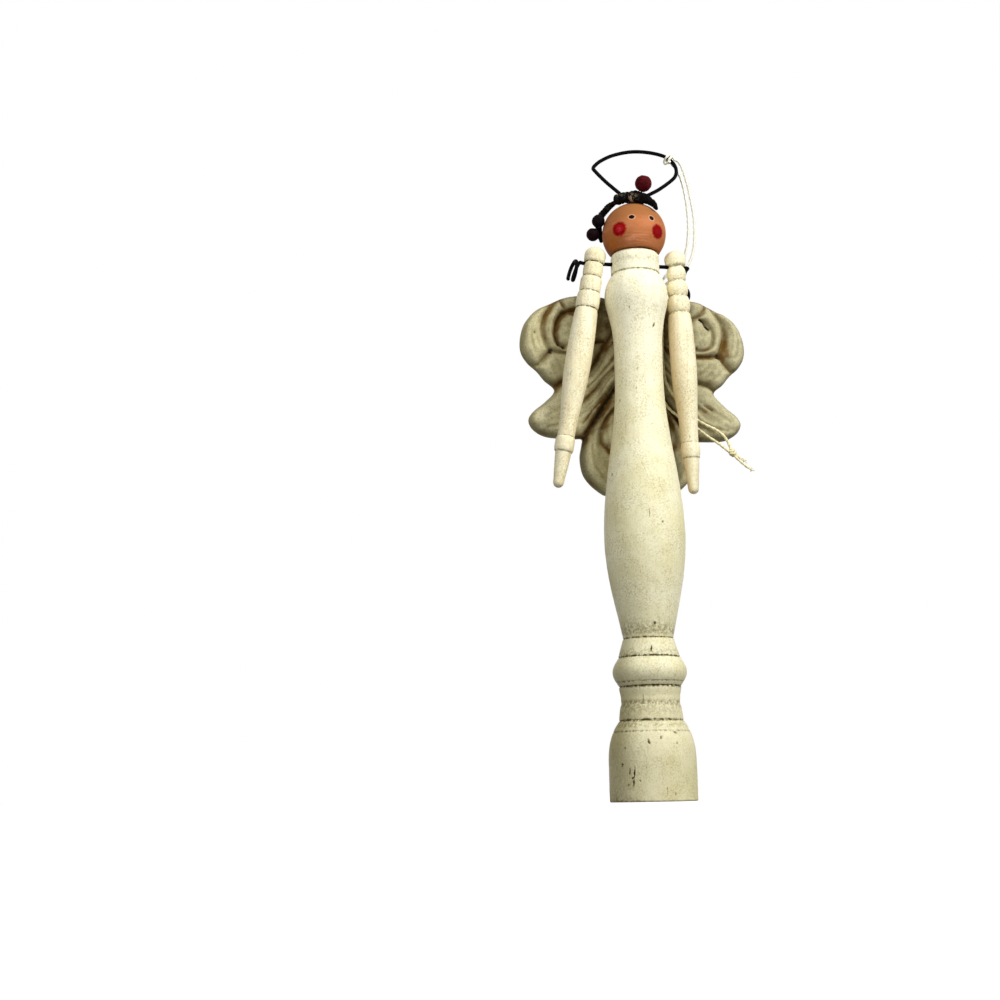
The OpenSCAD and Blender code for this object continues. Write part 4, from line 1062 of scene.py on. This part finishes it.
# Valleys between the lobes: line, half width, depth, brown wash, dark core; side is -1, 1 or 0 for both
WING_VALLEYS = (
    ([(32.5, 79.6), (34.6, 76), (36.7, 72.6), (37.8, 68.6), (37.4, 63.8), (35.3, 58.4)],
     1.5, 2.3, 0.50, 0.10, 0),
    ([(35.3, 58.4), (37.2, 55.6), (39.6, 52.8), (42, 51)], 1.3, 2.0, 0.55, 0.15, 0),
    ([(31.2, 75.6), (34.2, 72.2), (35.6, 68.2), (35.6, 65), (34.6, 61)], 0.5, 0.5, 0.30, 0.0, 0),
    ([(25, 75), (28.6, 74.2), (31.6, 70.8), (32.7, 66), (31.9, 61.6), (29.4, 59.6)],
     1.2, 2.4, 0.95, 0.50, -1),
    ([(29.6, 72.4), (32, 69.6), (32.9, 66), (32, 62.2), (29, 60.2), (25, 60)], 0.8, 1.2, 0.45, 0.05, 1),
    ([(20.5, 58), (25, 57.7), (30, 57.7), (35.3, 58.4)], 1.1, 2.2, 0.55, 0.30, 0),
    ([(33.6, 43), (30.5, 45.4), (26, 46.8), (20, 49.9), (14.5, 58), (9.2, 66)],
     1.2, 2.0, 0.55, 0.35, 0),
    ([(8.4, 51.5), (14, 46), (22.7, 37.7), (28, 34.5)], 1.3, 0.8, 0.34, 0.0, 0),
    ([(8, 56.5), (14, 50), (20.5, 43.5)], 0.8, 0.4, 0.22, 0.0, 0),
    ([(8, 47.5), (14, 40), (20, 32.2), (23, 28.6)], 0.9, 0.6, 0.40, 0.08, 0),
    ([(8.4, 43.8), (14, 35.6), (18.5, 29), (22.4, 23)], 1.5, 3.0, 1.0, 0.95, 0),
    ([(10.1, 34.1), (13.5, 30), (15.2, 25), (14.8, 20.5), (11.8, 17.5)], 1.3, 1.3, 0.55, 0.05, 0),
    ([(30.6, 80.6), (29.6, 77.4), (27.4, 74.8), (24, 73.2), (20, 73)], 0.9, 1.6, 0.40, 0.12, 0),
    ([(7, 62.6), (12, 62.4), (17, 62.2), (21, 60.6)], 0.7, 1.2, 0.55, 0.50, 0),
    ([(22.5, 81), (21.8, 76), (21, 70), (21, 62)], 1.4, 1.6, 0.50, 0.10, 0),
    ([(27.6, 37), (29.3, 36.2), (30.9, 35.2)], 0.5, 0.5, 0.50, 0.15, 1),
    ([(27.6, 73.4), (29.2, 72.2), (30, 70.6), (31.4, 69.2)], 0.55, 1.8, 0.7, 1.3, 1))
# Fine lines of the casting: line, depth
WING_STREAKS = (
    ([(12, 49), (20, 42.5), (30, 36), (38, 31)], 0.08),
    ([(13, 41), (21, 34), (30, 28.5), (37, 27)], 0.12),
    ([(18.5, 27), (19.6, 20), (18.5, 12), (14, 5)], 0.10), ([(12.6, 32), (13.2, 26), (12.4, 20)], 0.14),
    ([(39, 76), (42, 70.5), (43, 64), (41.5, 57)], 0.08), ([(40, 60), (41, 66), (39.4, 71.5)], 0.06),
    ([(36, 29), (39, 27.6), (42, 28)], 0.06))
# Pits and dark spots: outward, up, half width, depth, dark core, side; the last, with no depth, is a painted
# shadow between the left arm and the body
WING_PITS = (
    (34.9, 58.2, 0.95, 1.6, 1.2, 0), (41.8, 65.2, 0.5, 0.5, 0.8, -1), (31.8, 61, 0.55, 0.8, 1.0, -1),
    (29.7, 59.8, 0.45, 0.8, 1.0, -1), (41.5, 67, 0.3, 0.3, 0.5, 1), (25.6, 61, 0.5, 0.6, 0.8, 1),
    (11, 74, 8, 0, 0.42, -1))
# Patches of brown wash: outward, up, half widths, strength, side; the two near the body, at 12 and 13
# outward, are painted shade beside the body
WING_PATCHES = (
    (38, 57.8, 2.4, 2.6, 0.65, 1), (37.8, 62.5, 1.6, 4.5, 0.35, 1), (12, 70, 8, 11, 0.85, 0),
    (32, 44.6, 3.5, 2.6, 0.35, -1), (12, 18.5, 2.6, 3.4, 0.55, 0), (29.5, 47.2, 5, 1.3, 0.35, 1),
    (34, 25, 8, 1.8, 0.30, -1), (20, 5.5, 4, 4, 0.35, 0), (13, 45, 6, 12, 0.08, 0),
    (44.6, 63.5, 1.6, 2.2, 0.3, 1))
# Valleys above and below the feather strands
FEATHER_TOP, FEATHER_LOW = 6, 10
WING_GRID, WING_REACH, GRID_MARGIN = 0.36, 47.6, 0.6
RELIEF, BACK_ROUND = 4.0, 1.2


def line_distance(x, z, points):
    """Distance from each place to a line of points in the wing's plane."""
    best = np.full(x.shape, 1e9)
    nearest = np.zeros(x.shape + (2,))
    for a, b in zip(points[:-1], points[1:]):
        d = b - a
        t = np.clip(((x - a[0]) * d[0] + (z - a[1]) * d[1]) / max(d @ d, 1e-12), 0, 1)
        px, pz = a[0] + t * d[0], a[1] + t * d[1]
        far = np.hypot(x - px, z - pz)
        closer = far < best
        best = np.where(closer, far, best)
        nearest[closer] = np.stack([px, pz], -1)[closer]
    return best, nearest


def inside(x, z, loop):
    hit = np.zeros(x.shape, bool)
    for a, b in zip(loop, np.roll(loop, -1, axis=0)):
        crosses = (a[1] > z) != (b[1] > z)
        at = a[0] + (z - a[1]) * (b[0] - a[0]) / np.where(b[1] == a[1], 1e-9, b[1] - a[1])
        hit ^= crosses & (x < at)
    return hit


def planar(points, steps):
    flat = np.array([(p[0], 0.0, p[1]) for p in points], float)
    return smooth_path(flat, steps)[:, [0, 2]]


def rounded(t):
    """Quarter circle: 0 at an edge, and 1 from one radius inward."""
    return np.sqrt(np.clip(1 - (1 - np.clip(t, 0, 1)) ** 2, 0, 1))


def in_plane(x, z):
    """Rows of points in the wing's plane."""
    return np.stack([x.ravel(), np.zeros(x.size), z.ravel()], -1)


def feather_strands(x, z):
    """Fine strands along the feathers and round the inner lobe."""
    u = np.abs(x)
    top, low = (line_distance(u, z, planar(WING_VALLEYS[k][0], 6))[0] for k in (FEATHER_TOP, FEATHER_LOW))
    wander = waves(in_plane(x, z), 16, 64).reshape(x.shape)
    across = top / (top + low + 0.01)
    below = (z < 62 - 0.9 * (u - 10)) & (z > 20)
    lines = np.sin(2 * math.pi * (5.5 * across + 0.25 * wander)) * np.clip((34 - u) / 14, 0, 1)
    ring = np.hypot(u - 24, z - 57)
    lobe = np.exp(-(((u - 31) / 6) ** 2 + ((z - 51) / 5) ** 2) ** 2)
    return np.where(below, lines, 0) + 0.55 * lobe * np.sin(2 * math.pi * (ring / 2.6 + 0.2 * wander))


def wing_relief(x, z, edge_far):
    """Relief in front of the plate: its height, brown wash with painted shade beside the body, dark cores
    with a painted shadow, and painted light on the ridges and on two shaded lobes.
    """
    u = np.abs(x)
    depth, wash_and_shade, dark = np.zeros(x.shape), np.zeros(x.shape), np.zeros(x.shape)
    near = edge_far + 0.6
    for points, wide, deep, tint, core, side in WING_VALLEYS:
        far, _ = line_distance(u, z, planar(points, 6))
        far = np.where(x * side >= 0, far, 99)
        near = np.minimum(near, far + 4 * max(0, 1 - deep / 1.6))
        depth = np.maximum(depth, deep * bell(far, wide, 1.3))
        broad, narrow = (bell(far, share * wide, 1.5) for share in (2.2, 0.9))
        wash_and_shade = np.maximum(wash_and_shade, tint * (0.6 * broad + 0.6 * narrow))
        dark = np.maximum(dark, core * bell(far, 0.6 * wide, 1.7))
    dome = 1 - bell(near, 2.8, 1.2)
    height = RELIEF * (0.52 + 0.48 * dome) * rounded(edge_far / 2.6) - depth * 0.75
    for points, deep in WING_STREAKS:
        far, _ = line_distance(u, z, planar(points, 6))
        height = height - 2.0 * deep * bell(far, 0.6) + deep * bell(far - 1.4, 0.8)
        wash_and_shade = np.maximum(wash_and_shade, 2.0 * deep * bell(far, 0.7))
    for px, pz, wide, deep, core, side in WING_PITS:
        far = np.where(x * side >= 0, np.hypot(u - px, (z - pz) * 0.75), 99)
        height = height - deep * bell(far, wide)
        dark = np.maximum(dark, core * bell(far, wide))
    for px, pz, wide, tall, tint, side in WING_PATCHES:
        patch = tint * bell(u - px, wide) * bell(z - pz, tall)
        wash_and_shade = wash_and_shade + np.where(x * side >= 0, patch, 0) * (1 - 0.5 * wash_and_shade)
    strand = feather_strands(x, z)
    height = height + 0.10 * strand
    wash_and_shade = wash_and_shade + 0.28 * np.clip(-strand, 0, 1) ** 2
    wash_and_shade = wash_and_shade + 0.22 * bell(edge_far, 0.8)
    flat = in_plane(x, z)
    height = height + (0.16 * waves(flat, 7, 61) + 0.06 * waves(flat, 2.4, 62)).reshape(x.shape)
    height = np.clip(height, 0.05, RELIEF + 0.3)
    smooth = height
    for _ in range(24):
        around = [np.roll(smooth, step, axis) for axis in (0, 1) for step in (1, -1)]
        smooth = sum(around, smooth) / 5
    proud = (height - smooth) * (edge_far > 1.2)
    wash_and_shade = wash_and_shade + 0.22 * np.clip(-proud / 0.5, 0, 1)
    # Painted light on two lobes that lie in the arm's shade, full on the left wing and a little on the right
    rubbed_and_lit = 1.2 * bell(u - 37, 8) * bell(z - 31, 6)
    rubbed_and_lit = rubbed_and_lit + 0.7 * bell(u - 17, 6) * bell(z - 45, 9)
    return height, wash_and_shade, dark, np.clip(proud / 0.22, 0, 1) + np.where(x < 0, rubbed_and_lit, 0.3 * rubbed_and_lit)


def wing_grid():
    """Grid over the outline, drawn to it along the rim: places, edge distance, rim, used points, cells."""
    half = planar(WING_EDGE, 8)
    loop = np.vstack([half, half[-2:0:-1] * [-1, 1]])
    gx = np.arange(-WING_REACH, WING_REACH + WING_GRID / 2, WING_GRID)
    gz = np.arange(-GRID_MARGIN, WING_TOP - WING_BOTTOM + 2 * GRID_MARGIN, WING_GRID)
    cx, cz = np.meshgrid(gx[:-1] + WING_GRID / 2, gz[:-1] + WING_GRID / 2, indexing="ij")
    keep = inside(cx, cz, loop)
    x, z = np.meshgrid(gx, gz, indexing="ij")
    used = np.zeros(x.shape, int)
    for dx, dz in ((0, 0), (1, 0), (0, 1), (1, 1)):
        used[dx:dx + keep.shape[0], dz:dz + keep.shape[1]] += keep
    far, nearest = line_distance(x, z, np.vstack([loop, loop[:1]]))
    rim = (used > 0) & (used < 4)
    x = np.where(rim, nearest[..., 0], x)
    z = np.where(rim, nearest[..., 1], z)
    return x, z, np.where(rim, 0, far), rim, used > 0, keep


def clear_of_others(x, z, front):
    """Keeps the relief behind the spindle and the cord."""
    line_z, line_r = spindle_line()
    room = np.interp(z, line_z, line_r) + 0.35
    body_y = np.sqrt(np.maximum(room ** 2 - x ** 2, 0))
    front = np.where(np.abs(x) < room, np.maximum(front, np.minimum(body_y, SEAT_Y)), front)
    for strand in (STRAND_A, STRAND_B):
        line = even_path(smooth_path(strand, 4), 0.5)
        for p in line[line[:, 2] < WING_TOP + 2]:
            near = (np.abs(x - p[0]) < 1.0) & (np.abs(z - p[2]) < 1.0)
            front = np.where(near, np.maximum(front, p[1] + CORD_R + 0.15), front)
    return front


def closed_plate(face_points, back_points, index, keep):
    """Both sides of a plate over the kept cells, and its edge with a line of points along the middle."""
    count = len(face_points)
    faces = []
    edges = {}
    for i, k in np.argwhere(keep):
        quad = [int(index[i, k]), int(index[i + 1, k]), int(index[i + 1, k + 1]), int(index[i, k + 1])]
        faces.append(tuple(quad))
        faces.append(tuple(q + count for q in reversed(quad)))
        for a, b in zip(quad, quad[1:] + quad[:1]):
            if (b, a) in edges:
                del edges[(b, a)]
            else:
                edges[(a, b)] = True
    middle = {}
    side = []
    for a, b in edges:
        for v in (a, b):
            if v not in middle:
                middle[v] = 2 * count + len(side)
                p = face_points[v]
                side.append([p[0], (p[1] + back_points[v][1]) / 2, p[2]])
    for a, b in edges:
        faces.append((b, a, middle[a], middle[b]))
        faces.append((middle[b], middle[a], a + count, b + count))
    return np.vstack([face_points, back_points, side]), faces


def make_wings():
    x, z, far, rim, chosen, keep = wing_grid()
    height, wash_and_shade, dark, ridge = wing_relief(x, z, far)
    x, z = x + WING_SHIFT, z + WING_BOTTOM
    front = np.where(rim, SEAT_Y + 0.2, clear_of_others(x, z, SEAT_Y - height))
    count = int(chosen.sum())
    index = -np.ones(x.shape, int)
    index[chosen] = np.arange(count)
    flat_x, flat_z, inset = x[chosen], z[chosen], np.clip(far[chosen], 0, BACK_ROUND)
    rough = 0.06 * waves(in_plane(flat_x, flat_z), 6, 63)
    back = WING_BACK - 0.9 * (1 - rounded(inset / BACK_ROUND)) - np.abs(rough) * (inset > 1)
    face_points, back_points = (np.column_stack([flat_x, y, flat_z]) for y in (front[chosen], back))
    points, faces = closed_plate(face_points, back_points, index, keep)
    side_count = len(points) - 2 * count
    tint = np.concatenate([wash_and_shade[chosen], 0.10 + 0.25 * np.exp(-inset / 0.5), 0.3 * np.ones(side_count)])
    rest = np.zeros(count + side_count)
    dark, ridge = (np.concatenate([layer[chosen], rest]) for layer in (dark, ridge))
    layers = {"wash_and_shade": tint, "dark": dark, "ridge": ridge}
    obj = add_piece("wings_cast", "wings", points, faces, "wing", values=layers)
    for h in SCREW_HEIGHTS:
        cut(obj, rod((0, SEAT_Y - 6, h), (0, WING_BACK + 3, h), SCREW_R + GLUE))


make_wings()

# Carried-over solids
for node, paint in (("head_dowel", "dowel"), ("wing_screws", "screw")):
    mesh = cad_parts[node].data
    mesh.materials.clear()
    mesh.materials.append(PAINTS[paint])


# Stage and light
def make_stage():
    reach = 12000
    corners = [(-reach, -reach, 0), (reach, -reach, 0), (reach, reach, 0), (-reach, reach, 0)]
    floor = new_object("floor", corners, [(0, 1, 2, 3)])
    p = Paint("floor", 0.9, Specular_IOR_Level=0.0)
    p.shader.inputs["Base Color"].default_value = (0.30, 0.30, 0.30, 1)
    p.shader.inputs["Emission Color"].default_value = (1, 1, 1, 1)
    far = p.span(p.spot((0, 0, 0), (1000, 1000, 1000)), 0.02, 0.14, 0.80, 1.0)
    p.put(p.shader.inputs["Emission Strength"], p.times(seen_directly(p.tree), far))
    floor.data.materials.append(p.material)


def seen_directly(tree):
    """1 for camera, glossy and transmission rays, and 0 for the rest."""
    path = tree.nodes.new("ShaderNodeLightPath")
    total = path.outputs["Is Camera Ray"]
    for name in ("Is Glossy Ray", "Is Transmission Ray"):
        node = tree.nodes.new("ShaderNodeMath")
        node.operation = "MAXIMUM"
        tree.links.new(total, node.inputs[0])
        tree.links.new(path.outputs[name], node.inputs[1])
        total = node.outputs[0]
    return total


def make_world():
    world = bpy.data.worlds.new("studio")
    world.use_nodes = True
    scene.world = world
    tree = world.node_tree
    background = tree.nodes["Background"]
    background.inputs["Color"].default_value = (1, 1, 1, 1)
    seen = seen_directly(tree)
    strength = tree.nodes.new("ShaderNodeMapRange")
    strength.inputs["To Min"].default_value = 0.13
    strength.inputs["To Max"].default_value = 1.0
    tree.links.new(seen, strength.inputs["Value"])
    tree.links.new(strength.outputs["Result"], background.inputs["Strength"])


def make_lamp(name, place, aim, size, power):
    data = bpy.data.lights.new(name, "AREA")
    data.size = size
    data.energy = power
    lamp = bpy.data.objects.new(name, data)
    lamp.location = place
    lamp.rotation_euler = (Vector(aim) - Vector(place)).to_track_quat("-Z", "Y").to_euler()
    scene.collection.objects.link(lamp)


make_stage()
make_world()
make_lamp("key", (0.30, -0.42, 0.50), (0, 0, 0.12), 0.28, 4.05)
make_lamp("fill", (-0.24, -0.34, 0.40), (0, 0, 0.20), 0.24, 1.25)
